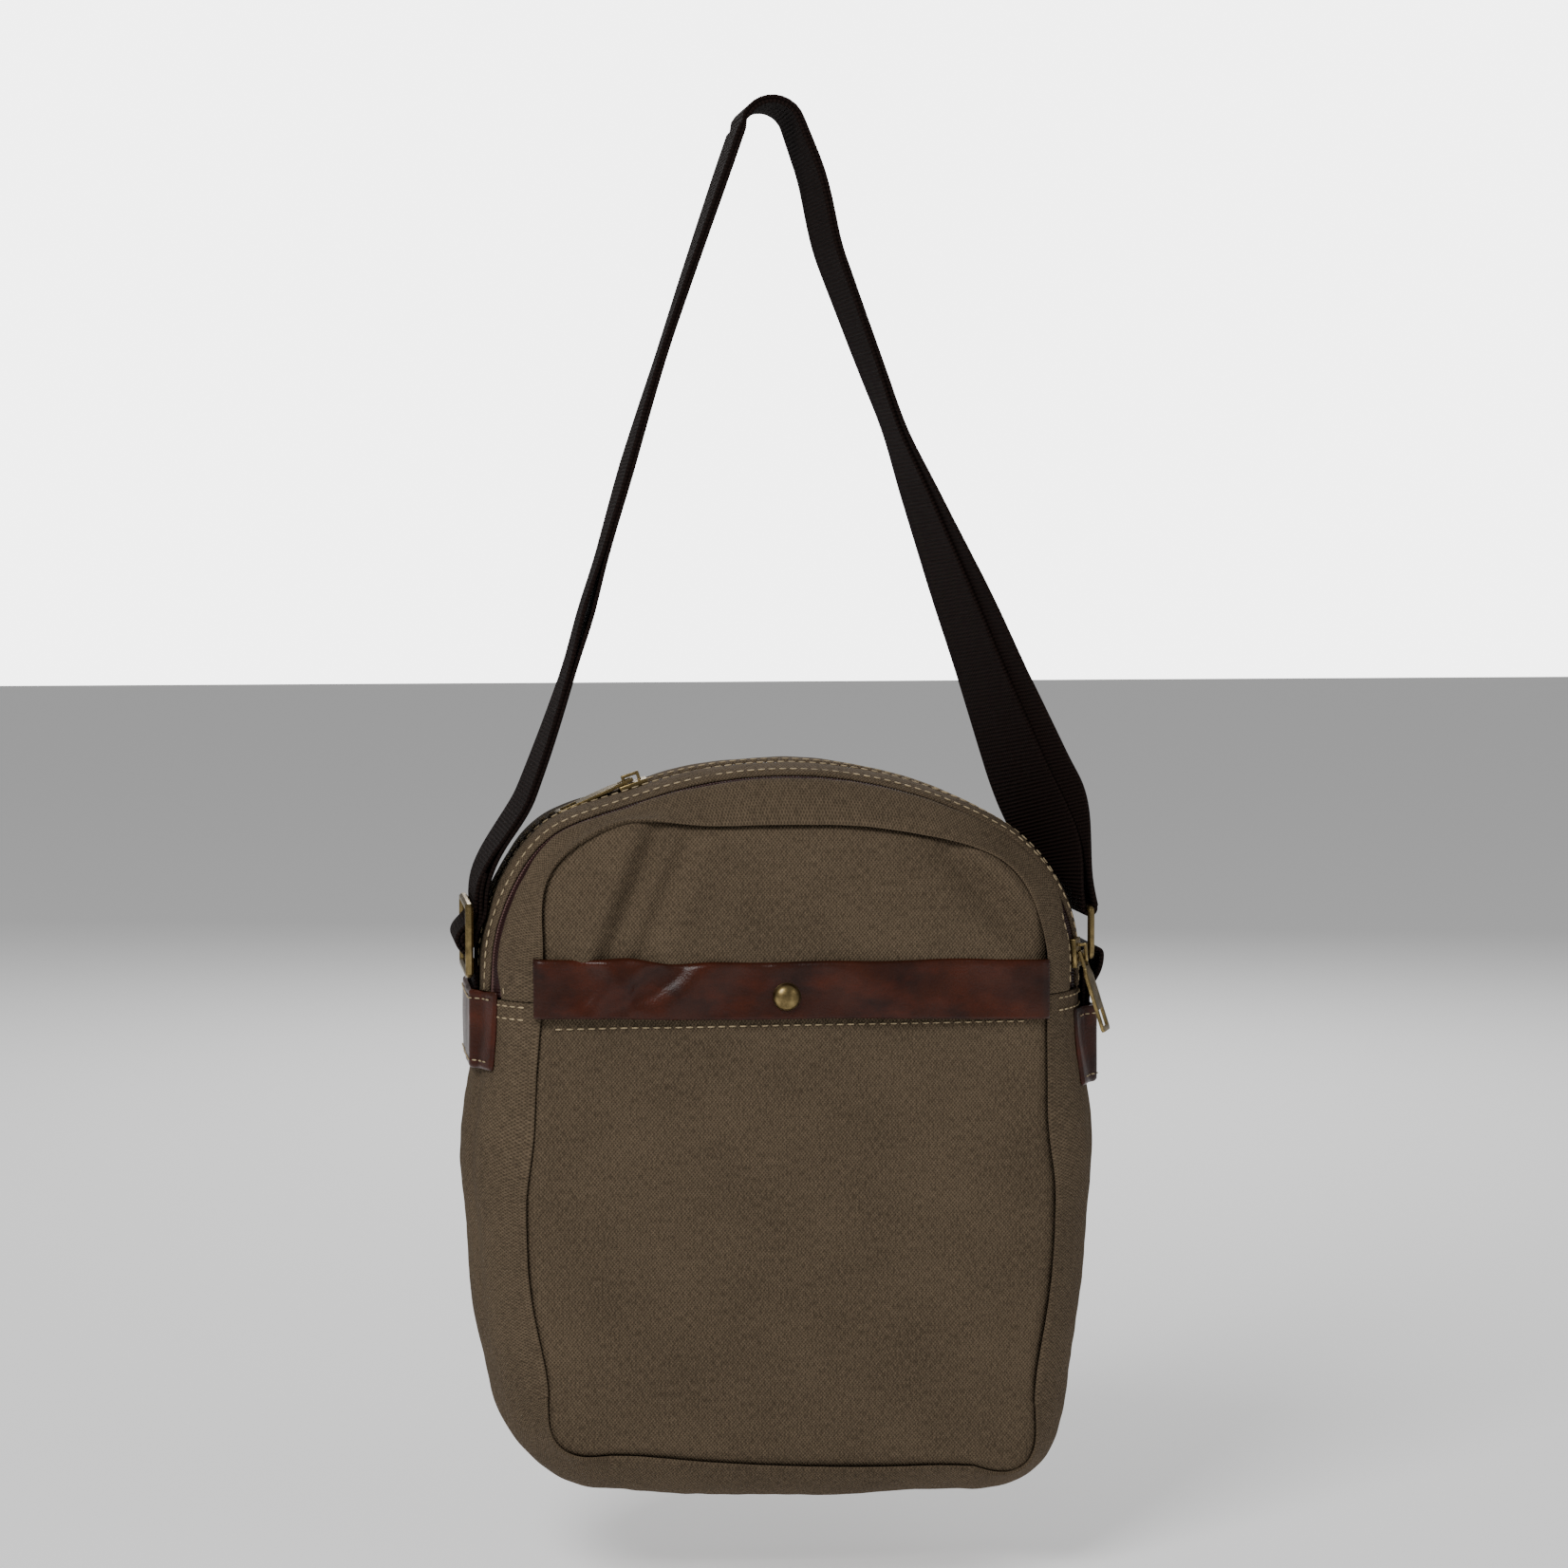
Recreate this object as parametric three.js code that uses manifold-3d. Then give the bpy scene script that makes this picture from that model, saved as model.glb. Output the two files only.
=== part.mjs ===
import * as THREE from 'three';
import { mergeVertices } from 'three/addons/utils/BufferGeometryUtils.js';
import Module from 'manifold-3d';

const wasm = await Module();
wasm.setup();

// A canvas messenger bag hanging by its doubled shoulder strap. Millimetres, +Z up,
// the front faces -Y. Pieces are laid out with z = 0 at the bottom of the bag, and the
// whole model is then lowered so that the origin is the underside of the strap where it
// lies over a hook.

// ---- bag body ----
const GAP = 0.35; // clearance between neighbouring pieces
const PANEL_EASE = 0.9; // a panel inside the gusset is this much smaller all round
const BAG_HEIGHT = 279;
const BASE_WIDTH = 216; // at the top of the bottom corners
const BELLY_WIDTH = 235; // widest part, below the leather tabs
const SHOULDER_WIDTH = 228; // straight sides under the tabs
const BASE_CORNER = 40; // size of the bottom corners
const BASE_SAG = 3; // the bottom edge hangs lower in the middle
const BELLY_DROP = 166; // top of the bag down to the widest part
const SIDE_DROP = 124; // top down to the foot of the straight sides
const JOIN_DROP = 89; // top down to the join of upper and lower gusset
const SHOULDER_DROP = 76; // top down to the centre of the shoulder arcs
const SHOULDER_RADIUS = 62;
const LEFT_RISE = 0.6; // the left shoulder stands this much higher, so the top leans
const TOP_RISE = 13.7; // crown of the top arc above the shoulder arcs
const WALL = 1.5; // canvas with its lining
const FRONT_Y = -38; // front edge of the gusset
const REAR_Y = 36; // rear edge of the gusset
const FRONT_INSET = 18.5; // how far the front seam sits inside the widest outline
const REAR_INSET = 9;

// ---- zips: their parts, and where each one runs ----
const COIL_EDGE = 2; // from the coil to the cloth's edge on either side, room for the slider
const ZIP_TAPE = 0.6;
const TAPE_OVERLAP = 3.5; // tape hidden under the fabric
const COIL_WIDTH = 5;
const COIL_HEIGHT = 1.6;
const FRONT_ZIP_Y = -21;
const MAIN_ZIP_Y = 1.5;
const BACK_ZIP_DROP = 73; // top of the bag down to the pocket zip on the back
const BACK_ZIP_MARGIN = 4; // from the end of the back zip to the rear seam
const FRONT_ZIP_ANGLE = 4; // degrees up the right shoulder arc where the slider rests
const MAIN_ZIP_ANGLE = -19; // degrees round the top arc from upright, left is negative

// ---- zip sliders and pullers ----
const SLIDER_LENGTH = 11;
const SLIDER_PLATE = 1.3;
const SLIDER_EASE = 0.85; // between the coil and the slider's flanges
const BRIDGE_LENGTH = 7;
const BRIDGE_HEIGHT = 3.4;
const BRIDGE_WIRE = 1.2;
const PULLER_LENGTH = 31;
const PULLER_WIDTH = 10;
const PULLER_THICKNESS = 1.2;
const PULLER_RIM = 1.8; // metal beside the window near the puller's end
const EYE_BAR = 1;
const EYE_LENGTH = 5.4;
const EYE_RIM = 1.3; // metal beside the eye
const FRONT_PULLER_LIFT = 14; // degrees off the wall at rest
const MAIN_PULLER_LIFT = -5;
const BACK_PULLER_LIFT = 8;
const BACK_POCKET_DEPTH = 130;
const BACK_POCKET_ROOM = 5;
const BACK_POCKET_CLOTH = 0.8;
const BACK_POCKET_MARGIN = 4; // at least this far inside the belly of the gusset

// ---- front pocket ----
const SLOT = 4.6; // room between the pocket and the panel behind it
const POCKET_CLOTH = 1;
const POCKET_TOP_DROP = 72.5; // top of the bag down to the pocket mouth
const BAND_HEIGHT = 22;
const BAND_LEATHER = 0.9;
const SNAP_X = -3;
const SNAP_DROP = 12; // pocket mouth down to the snap
const SNAP_CAP = 10;
const SNAP_SHANK = 2.4;
const CAP_HEIGHT = 3.4;
const CAP_RIM = 0.8;
const SOCKET_HEIGHT = 1.7;
const STUD_HEIGHT = 1.1;
const STUD_NUB = 1.7; // radius
const STUD_FLOOR = 0.2; // the post's end is sunk this much into the stud
const POST_HEAD = 0.8;

// ---- strap and its fittings ----
const STRAP_Y = 8; // middle of the strap across the gusset
const WEBBING_WIDTH = 38;
const WEBBING = 1.5;
const TAB_WIDTH = 54;
const TAB_HEIGHT = 29;
const TAB_LEATHER = 1.6;
const TAB_ROOM = 2.3; // beside the webbing in a tab, so that the bag can swing
const LEFT_TAB_DROP = 83; // top of the bag down to the top of the left tab
const RIGHT_TAB_DROP = 93;
const SWING_DROP = 97.5; // top of the bag down to the line the bag swings about
const TONGUE_END = 8; // rounded end of the webbing inside a tab
const RING_WIRE = 2.5;
const LOOP_ROOM = 2.6; // the webbing loop lets the ring's lower bar swing out this far
const RING_HEIGHT = 20.5; // outside
const RING_DROP = 55.25; // top of the bag down to the top of the ring
const SLIDER_FRAME_WIRE = 3;
const SLIDER_FRAME_HEIGHT = 28; // outside
const SLIDER_FRAME_DROP = 51; // top of the bag down to the top of the slider
const FRAME_SIDE_CLEARANCE = 0.6; // webbing edge to the side of a ring or slider
const LOOP_HEIGHT = 244; // top of the bag up to the underside of the strap at the hook
const HOOK_X = -4;
const HOOK_RADIUS = 9;
const RIGHT_TWIST = -32; // degrees, the doubled strap turns between bag and hook
const LEFT_TWIST = 8;
const SPREAD = 30; // the layers come together this far from the fittings
const FOLD_TURN = 240; // degrees that the sewn end goes round the slider's middle bar
const LEG_INSET = 3.35; // the doubled strap leans in over the shoulder by this much
const FOLD_BACK = 16; // the sewn end runs up the doubled strap this far

// ---- values that follow ----
const rad = THREE.MathUtils.degToRad;
const lerp = THREE.MathUtils.lerp;
const smooth = THREE.MathUtils.smoothstep;
const side = SHOULDER_WIDTH / 2;
const shoulderZ = BAG_HEIGHT - SHOULDER_DROP;
const shoulderX = side - SHOULDER_RADIUS;
const joinZ = BAG_HEIGHT - JOIN_DROP;
const pocketTop = BAG_HEIGHT - POCKET_TOP_DROP;
const swingZ = BAG_HEIGHT - SWING_DROP;
const hangZ = BAG_HEIGHT + LOOP_HEIGHT;
// The top is an arc that meets both shoulder arcs smoothly.
const leftShoulderZ = shoulderZ + LEFT_RISE;
const halfSpan = Math.hypot(shoulderX, LEFT_RISE / 2);
const topDepth = (halfSpan ** 2 - TOP_RISE ** 2) / (2 * TOP_RISE);
const topRadius = topDepth + SHOULDER_RADIUS + TOP_RISE;
const topLean = Math.atan2(LEFT_RISE / 2, shoulderX);
const topCentreX = -topDepth * Math.sin(topLean);
const topCentreZ = shoulderZ + LEFT_RISE / 2 - topDepth * Math.cos(topLean);
const leftSweep = Math.atan2(leftShoulderZ - topCentreZ, -shoulderX - topCentreX);
const rightSweep = Math.atan2(shoulderZ - topCentreZ, shoulderX - topCentreX);

// ---- materials ----
function finish(color, roughness, metalness) {
  return new THREE.MeshStandardMaterial({ color, roughness, metalness });
}
const canvas = finish(0x5c4f3f, 0.95, 0);
const lining = finish(0x3a3026, 0.9, 0);
const leather = finish(0x4a2015, 0.45, 0);
const webbing = finish(0x221613, 0.85, 0);
const zipTape = finish(0x2a1412, 0.85, 0);
const zipCoil = finish(0x1e1110, 0.5, 0);
const brass = finish(0x8a7540, 0.35, 1);

const model = new THREE.Group();
model.position.set(-HOOK_X, -STRAP_Y, -hangZ);

function add(name, geometry, material, parent = model) {
  const mesh = new THREE.Mesh(geometry, material);
  mesh.name = name;
  parent.add(mesh);
  return mesh;
}

// ---- solids ----
function solidOf(geometry) {
  const bare = geometry.clone();
  bare.deleteAttribute('normal');
  bare.deleteAttribute('uv');
  const merged = mergeVertices(bare, 1e-4);
  return new wasm.Manifold(new wasm.Mesh({
    numProp: 3,
    vertProperties: Float32Array.from(merged.attributes.position.array),
    triVerts: Uint32Array.from(merged.index.array),
  }));
}

function geometryOf(solid) {
  const mesh = solid.getMesh();
  const geometry = new THREE.BufferGeometry();
  geometry.setAttribute('position', new THREE.BufferAttribute(mesh.vertProperties, 3));
  geometry.setIndex(new THREE.BufferAttribute(mesh.triVerts, 1));
  geometry.computeVertexNormals();
  return geometry;
}

function join(...geometries) {
  return geometryOf(geometries.map(solidOf).reduce((sum, one) => sum.add(one)));
}

function cut(geometry, ...tools) {
  return geometryOf(tools.map(solidOf).reduce((rest, tool) => rest.subtract(tool), solidOf(geometry)));
}

function keep(geometry, region) {
  return geometryOf(solidOf(geometry).intersect(solidOf(region)));
}

// A box between two opposite corners.
function block(x0, x1, y0, y1, z0, z1) {
  const geometry = new THREE.BoxGeometry(x1 - x0, y1 - y0, z1 - z0);
  return geometry.translate((x0 + x1) / 2, (y0 + y1) / 2, (z0 + z1) / 2);
}

// A box bent to any shape: place(u, v, w) gives the point for length, width and depth 0..1.
function bentBox(steps, rows, place) {
  const geometry = new THREE.BoxGeometry(1, 1, 1, steps, rows, 1);
  const position = geometry.attributes.position;
  for (let i = 0; i < position.count; i += 1) {
    const point = place(position.getX(i) + 0.5, position.getY(i) + 0.5, 0.5 - position.getZ(i));
    position.setXYZ(i, point.x, point.y, point.z);
  }
  geometry.computeVertexNormals();
  return geometry;
}

// A flat plate standing across the bag, its rear face at y.
function plate(shape, thickness, y) {
  const geometry = new THREE.ExtrudeGeometry(shape, {
    depth: thickness, bevelEnabled: false, curveSegments: 8,
  });
  return geometry.rotateX(Math.PI / 2).translate(0, y, 0);
}

// A turned piece about the Y axis, its profile given as radius and y from front to rear.
function turned(profile, segments, x, z) {
  const points = profile.map(([radius, y]) => new THREE.Vector2(radius, y));
  return new THREE.LatheGeometry(points, segments).translate(x, 0, z);
}

// ---- outline of the bag at its widest, in X and Z, clockwise seen from the front ----
const v2 = (x, z) => new THREE.Vector2(x, z);

function arcAt(x, z, radius, from, to) {
  return new THREE.EllipseCurve(x, z, radius, radius, from, to, true);
}

const upperOutline = new THREE.CurvePath();
upperOutline.add(new THREE.LineCurve(v2(-side, joinZ), v2(-side, leftShoulderZ)));
upperOutline.add(arcAt(-shoulderX, leftShoulderZ, SHOULDER_RADIUS, Math.PI, leftSweep));
upperOutline.add(arcAt(topCentreX, topCentreZ, topRadius, leftSweep, rightSweep));
upperOutline.add(arcAt(shoulderX, shoulderZ, SHOULDER_RADIUS, rightSweep, 0));
upperOutline.add(new THREE.LineCurve(v2(side, shoulderZ), v2(side, joinZ)));

const bellyZ = BAG_HEIGHT - BELLY_DROP;
const sideFootZ = BAG_HEIGHT - SIDE_DROP;
const base = BASE_WIDTH / 2;
const belly = BELLY_WIDTH / 2;
const bellyPull = (bellyZ - BASE_CORNER) / 2;

function sideCurves(sign) {
  const p = (x, z) => v2(sign * x, z);
  return [
    new THREE.LineCurve(p(side, joinZ), p(side, sideFootZ)),
    new THREE.CubicBezierCurve(p(side, sideFootZ), p(side, lerp(sideFootZ, bellyZ, 0.45)),
      p(belly, lerp(bellyZ, sideFootZ, 0.45)), p(belly, bellyZ)),
    new THREE.CubicBezierCurve(p(belly, bellyZ), p(belly, bellyZ - bellyPull),
      p(base + BASE_CORNER * 0.08, BASE_CORNER + bellyPull * 0.6), p(base, BASE_CORNER)),
    new THREE.CubicBezierCurve(p(base, BASE_CORNER),
      p(base - BASE_CORNER * 0.12, BASE_CORNER * 0.45),
      p(base - BASE_CORNER * 0.5, BASE_SAG), p(base - BASE_CORNER, BASE_SAG)),
    new THREE.QuadraticBezierCurve(p(base - BASE_CORNER, BASE_SAG),
      p((base - BASE_CORNER) / 2, 0), p(0, 0)),
  ];
}

function reversed(curve) {
  const backwards = curve.clone();
  backwards.getPoint = (t, target) => curve.getPoint(1 - t, target);
  return backwards;
}

const lowerOutline = new THREE.CurvePath();
sideCurves(1).forEach((curve) => lowerOutline.add(curve));
sideCurves(-1).reverse().forEach((curve) => lowerOutline.add(reversed(curve)));

// How far the wall sits inside the widest outline at depth y.
function insetAt(y) {
  if (y < STRAP_Y) return FRONT_INSET * ((STRAP_Y - y) / (STRAP_Y - FRONT_Y)) ** 3;
  return REAR_INSET * ((y - STRAP_Y) / (REAR_Y - STRAP_Y)) ** 3.5;
}

// How steeply the wall turns inwards at depth y.
function slopeAt(y) {
  const step = 0.5;
  return Math.atan2(insetAt(y - step) - insetAt(y + step), 2 * step);
}

// A point on an outline, moved inwards.
function insetPoint(outline, u, inset) {
  const at = Math.min(Math.max(u, 0), 1);
  const point = outline.getPoint(at);
  const t = outline.getTangent(at);
  return v2(point.x + t.y * inset, point.y - t.x * inset);
}

function outlineShape(inset) {
  const points = [];
  const sides = [[upperOutline, 36], [lowerOutline, 44]];
  for (const [outline, count] of sides) {
    for (let i = 0; i < count; i += 1) points.push(insetPoint(outline, i / count, inset));
  }
  return new THREE.Shape(points);
}

// A strip of the wall that follows an outline: y0 to y1, sunk under the wall's surface.
function wallStrip(outline, steps, rows, y0, y1, sunk, thickness, u0 = 0, u1 = 1) {
  return bentBox(steps, rows, (u, v, w) => {
    const y = lerp(y0, y1, v);
    const point = insetPoint(outline, lerp(u0, u1, u), insetAt(y) + sunk + w * thickness);
    return new THREE.Vector3(point.x, y, point.y);
  });
}

// ---- gusset: three bands over the top between the zips, one piece round the bottom ----
const JOIN_GAP = GAP / 2 / upperOutline.getLength();

function upperBand(y0, y1, rows) {
  return wallStrip(upperOutline, 44, rows, y0, y1, 0, WALL, JOIN_GAP, 1 - JOIN_GAP);
}

const halfOpening = COIL_WIDTH / 2 + COIL_EDGE;
add('front_gusset_band', upperBand(FRONT_Y, FRONT_ZIP_Y - halfOpening, 3), canvas);
add('middle_gusset_band', upperBand(FRONT_ZIP_Y + halfOpening, MAIN_ZIP_Y - halfOpening, 3), canvas);
add('rear_gusset_band', upperBand(MAIN_ZIP_Y + halfOpening, REAR_Y, 5), canvas);
add('lower_gusset', wallStrip(
  lowerOutline, 56, 10, FRONT_Y, REAR_Y, 0, WALL, JOIN_GAP, 1 - JOIN_GAP), canvas);

// ---- the two zips that run over the top of the bag ----
function tapesAndCoil(name, zipY) {
  const under = WALL + GAP;
  const reach = halfOpening + TAPE_OVERLAP;
  const strip = (y0, y1, sunk, thickness) => wallStrip(
    upperOutline, 44, 1, y0, y1, sunk, thickness, JOIN_GAP, 1 - JOIN_GAP);
  add(`${name}_zip_front_tape`, strip(zipY - reach, zipY - GAP / 2, under, ZIP_TAPE), zipTape);
  add(`${name}_zip_rear_tape`, strip(zipY + GAP / 2, zipY + reach, under, ZIP_TAPE), zipTape);
  const half = (COIL_WIDTH / 2) * Math.cos(slopeAt(zipY));
  add(`${name}_zip_coil`, strip(zipY - half, zipY + half, WALL - COIL_HEIGHT, COIL_HEIGHT), zipCoil);
}
tapesAndCoil('front', FRONT_ZIP_Y);
tapesAndCoil('main', MAIN_ZIP_Y);

// ---- panels ----
const pocketRear = FRONT_Y - GAP;
const bandBackRear = FRONT_Y + BAND_LEATHER;
const panelFront = bandBackRear + SLOT;
const panelInset = insetAt(panelFront) + WALL + PANEL_EASE;
const shankHole = SNAP_SHANK / 2 + GAP;
const snapZ = pocketTop - SNAP_DROP;

// A hole through everything from y0 to y1 for the snap's shank.
function snapHole(y0, y1) {
  return turned([[0, y0], [shankHole, y0], [shankHole, y1], [0, y1]], 16, SNAP_X, snapZ);
}

add('front_panel', cut(
  plate(outlineShape(panelInset), WALL, panelFront + WALL),
  snapHole(panelFront - 1, panelFront + WALL + 1),
), canvas);

const dividerY = MAIN_ZIP_Y - halfOpening - TAPE_OVERLAP - GAP;
const dividerInset = insetAt(dividerY - WALL) + WALL + PANEL_EASE;
add('divider_panel', plate(outlineShape(dividerInset), WALL, dividerY), lining);

const pocketFront = pocketRear - POCKET_CLOTH;
const wide = BAG_HEIGHT;
add('front_pocket_panel', cut(
  keep(plate(outlineShape(FRONT_INSET), POCKET_CLOTH, pocketRear),
    block(-wide, wide, pocketFront - 1, pocketRear + 1, -wide, pocketTop)),
  snapHole(pocketFront - 1, pocketRear + 1),
), canvas);

// The leather binding is folded over the mouth of the pocket: a leaf outside, one inside.
const bandFront = pocketFront - GAP - BAND_LEATHER;
const bandHalf = side - FRONT_INSET;
const innerLeafHalf = bandHalf - WALL - GAP;
const bandTop = pocketTop + GAP + BAND_LEATHER;
const bandBottom = pocketTop - BAND_HEIGHT;
function bandGeometry() {
  const outside = block(-bandHalf, bandHalf, bandFront, bandFront + BAND_LEATHER, bandBottom, bandTop);
  const fold = block(-innerLeafHalf, innerLeafHalf, bandFront, bandBackRear, pocketTop + GAP, bandTop);
  const inside = block(-innerLeafHalf, innerLeafHalf, FRONT_Y, bandBackRear, bandBottom, bandTop);
  return cut(join(outside, fold, inside), snapHole(bandFront - 1, bandBackRear + 1));
}
add('pocket_leather_band', bandGeometry(), leather);

// ---- snap fastener: cap and socket on the pocket, stud and post on the panel ----
const capRear = bandFront - GAP;
const socketFront = bandBackRear + GAP;
const socketRear = socketFront + SOCKET_HEIGHT;
const studFront = panelFront - GAP - STUD_HEIGHT;
const capRadius = SNAP_CAP / 2;
const shank = SNAP_SHANK / 2;

add('snap_cap', turned([
  [0, capRear - CAP_HEIGHT], [capRadius * 0.5, capRear - CAP_HEIGHT * 0.88],
  [capRadius * 0.86, capRear - CAP_HEIGHT * 0.56], [capRadius, capRear - CAP_RIM],
  [capRadius, capRear], [shank, capRear],
  [shank, socketFront - GAP], [0, socketFront - GAP],
], 24, SNAP_X, snapZ), brass);
add('snap_socket', turned([
  [STUD_NUB + GAP, socketFront], [capRadius, socketFront], [capRadius, socketRear - 0.5],
  [capRadius - 0.7, socketRear], [STUD_NUB + GAP, socketRear], [STUD_NUB + GAP, socketFront],
], 24, SNAP_X, snapZ), brass);
add('snap_stud', turned([
  [0, socketFront + GAP], [STUD_NUB * 0.7, socketFront + GAP], [STUD_NUB, socketFront + GAP + 0.5],
  [STUD_NUB, studFront], [capRadius, studFront], [capRadius, panelFront - GAP],
  [shank + GAP, panelFront - GAP], [shank + GAP, studFront + STUD_FLOOR],
  [0, studFront + STUD_FLOOR],
], 24, SNAP_X, snapZ), brass);
const postFront = studFront + STUD_FLOOR + GAP;
const panelRear = panelFront + WALL;
add('snap_post', turned([
  [0, postFront], [shank, postFront], [shank, panelRear + GAP], [capRadius * 0.8, panelRear + GAP],
  [capRadius * 0.8, panelRear + GAP + POST_HEAD], [0, panelRear + GAP + POST_HEAD],
], 24, SNAP_X, snapZ), brass);

// ---- back panel in two pieces with a pocket zip between them ----
const backRear = REAR_Y + GAP + WALL;
const backZipZ = BAG_HEIGHT - BACK_ZIP_DROP;
const backHalf = side - REAR_INSET;
const backZipHalf = backHalf - BACK_ZIP_MARGIN;
const zipWindow = block(-backZipHalf, backZipHalf, REAR_Y - 1, backRear + 1,
  backZipZ - halfOpening, backZipZ + halfOpening);
function backHalfPanel(z0, z1) {
  const whole = cut(plate(outlineShape(REAR_INSET), WALL, backRear), zipWindow);
  return keep(whole, block(-wide, wide, REAR_Y, backRear + 1, z0, z1));
}
add('back_panel_upper', backHalfPanel(backZipZ + GAP / 2, wide * 2), canvas);
add('back_panel_lower', backHalfPanel(-wide, backZipZ - GAP / 2), canvas);

const backTapeFront = REAR_Y - ZIP_TAPE;
const tapeReach = halfOpening + TAPE_OVERLAP;
const tapeHalf = backZipHalf - 1;
function backTape(z0, z1) {
  return block(-tapeHalf, tapeHalf, backTapeFront, REAR_Y, z0, z1);
}
add('back_zip_upper_tape', backTape(backZipZ + GAP / 2, backZipZ + tapeReach), zipTape);
add('back_zip_lower_tape', backTape(backZipZ - tapeReach, backZipZ - GAP / 2), zipTape);
add('back_zip_coil', block(-tapeHalf, tapeHalf, REAR_Y + GAP, backRear + 0.1,
  backZipZ - COIL_WIDTH / 2, backZipZ + COIL_WIDTH / 2), zipCoil);

// The pocket behind that zip is a flat bag inside the main compartment.
function backPocket() {
  const cloth = BACK_POCKET_CLOTH;
  const rear = backTapeFront - GAP;
  const front = rear - BACK_POCKET_ROOM - 2 * cloth;
  const top = backZipZ + tapeReach;
  const bottom = backZipZ - BACK_POCKET_DEPTH;
  const half = Math.min(tapeHalf, BELLY_WIDTH / 2 - REAR_INSET - WALL - BACK_POCKET_MARGIN);
  const outer = block(-half, half, front, rear, bottom, top);
  const room = block(-half + cloth, half - cloth, front + cloth, rear - cloth,
    bottom + cloth, top - cloth);
  const mouth = block(-half + 4, half - 4, rear - cloth * 1.5, rear + 1,
    backZipZ - halfOpening + 1, backZipZ + halfOpening - 1);
  return cut(outer, room, mouth);
}
add('back_pocket_lining', backPocket(), lining);

// ---- zip slider and puller, drawn with +X outwards, Y across the zip, Z along it ----
// x = 0 is the top of the coil. The puller's eye bar turns under the bridge.
const eyeX = GAP + SLIDER_PLATE + (BRIDGE_HEIGHT - BRIDGE_WIRE) / 2;

function sliderGeometry() {
  const half = COIL_WIDTH / 2 + SLIDER_EASE;
  const flange = 0.8;
  const plateTop = GAP + SLIDER_PLATE;
  const z = SLIDER_LENGTH / 2;
  const b = BRIDGE_LENGTH / 2;
  const w = BRIDGE_WIRE / 2;
  return join(
    block(GAP, plateTop, -half - flange, half + flange, -z, z),
    block(GAP - 1.5, plateTop, -half - flange, -half, -z, z),
    block(GAP - 1.5, plateTop, half, half + flange, -z, z),
    block(plateTop - 0.1, plateTop + BRIDGE_HEIGHT, -w, w, -b, -b + BRIDGE_WIRE),
    block(plateTop - 0.1, plateTop + BRIDGE_HEIGHT, -w, w, b - BRIDGE_WIRE, b),
    block(plateTop + BRIDGE_HEIGHT - BRIDGE_WIRE, plateTop + BRIDGE_HEIGHT, -w, w, -b, b),
  );
}

// The puller hangs towards -Z from its eye bar, which lies on the Y axis.
function pullerGeometry() {
  const w = PULLER_WIDTH / 2;
  const t = PULLER_THICKNESS / 2;
  const neck = w * 0.62;
  const outline = new THREE.Shape([
    v2(-neck, EYE_BAR / 2), v2(-neck, -EYE_LENGTH - 1), v2(-w, -EYE_LENGTH - 3.2), v2(-w, -PULLER_LENGTH + 1),
    v2(-w + 1, -PULLER_LENGTH), v2(w - 1, -PULLER_LENGTH), v2(w, -PULLER_LENGTH + 1),
    v2(w, -EYE_LENGTH - 3.2), v2(neck, -EYE_LENGTH - 1), v2(neck, EYE_BAR / 2),
  ]);
  const rectangle = (half, z0, z1) => new THREE.Path([
    v2(-half, z0), v2(half, z0), v2(half, z1), v2(-half, z1),
  ]);
  outline.holes.push(rectangle(neck - EYE_RIM, -EYE_LENGTH, -EYE_BAR / 2));
  outline.holes.push(rectangle(w - PULLER_RIM, -PULLER_LENGTH + 2, -PULLER_LENGTH + 8.5));
  const flat = new THREE.ExtrudeGeometry(outline, { depth: PULLER_THICKNESS, bevelEnabled: false });
  // The outline's x runs across the puller and its y along it.
  const turn = new THREE.Matrix4().makeBasis(
    new THREE.Vector3(0, 1, 0), new THREE.Vector3(0, 0, 1), new THREE.Vector3(1, 0, 0));
  return flat.translate(0, 0, -t).applyMatrix4(turn);
}

// A slider and its puller on a frame that stands on the coil.
function sliderAndPuller(name, frame, swing) {
  add(`${name}_zip_slider`, sliderGeometry(), brass, frame);
  const hook = new THREE.Group();
  hook.position.x = eyeX;
  hook.rotation.y = -rad(swing);
  frame.add(hook);
  add(`${name}_zip_puller`, pullerGeometry(), brass, hook);
}

function frameOnArc(centreX, centreZ, radius, angle, zipY) {
  const arcCentre = new THREE.Group();
  arcCentre.position.set(centreX, zipY, centreZ);
  arcCentre.rotation.y = -angle;
  model.add(arcCentre);
  const frame = new THREE.Group();
  frame.position.x = radius - insetAt(zipY) + COIL_HEIGHT - WALL;
  frame.rotation.z = -slopeAt(zipY);
  arcCentre.add(frame);
  return frame;
}

sliderAndPuller('front',
  frameOnArc(shoulderX, shoulderZ, SHOULDER_RADIUS, rad(FRONT_ZIP_ANGLE), FRONT_ZIP_Y), FRONT_PULLER_LIFT);
// The main zip closes at the left, so its slider is turned end for end.
const mainFrame = new THREE.Group();
mainFrame.rotation.x = Math.PI;
frameOnArc(topCentreX, topCentreZ, topRadius, rad(90 - MAIN_ZIP_ANGLE), MAIN_ZIP_Y).add(mainFrame);
sliderAndPuller('main', mainFrame, MAIN_PULLER_LIFT);

const backFrame = new THREE.Group();
backFrame.position.set(tapeHalf - SLIDER_LENGTH / 2 - 1, backRear + 0.1, backZipZ);
// +X of the frame points to the rear and its -Z to the right end of the zip.
backFrame.setRotationFromMatrix(new THREE.Matrix4().makeBasis(
  new THREE.Vector3(0, 1, 0), new THREE.Vector3(0, 0, -1), new THREE.Vector3(-1, 0, 0)));
model.add(backFrame);
sliderAndPuller('back', backFrame, BACK_PULLER_LIFT);

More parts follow.
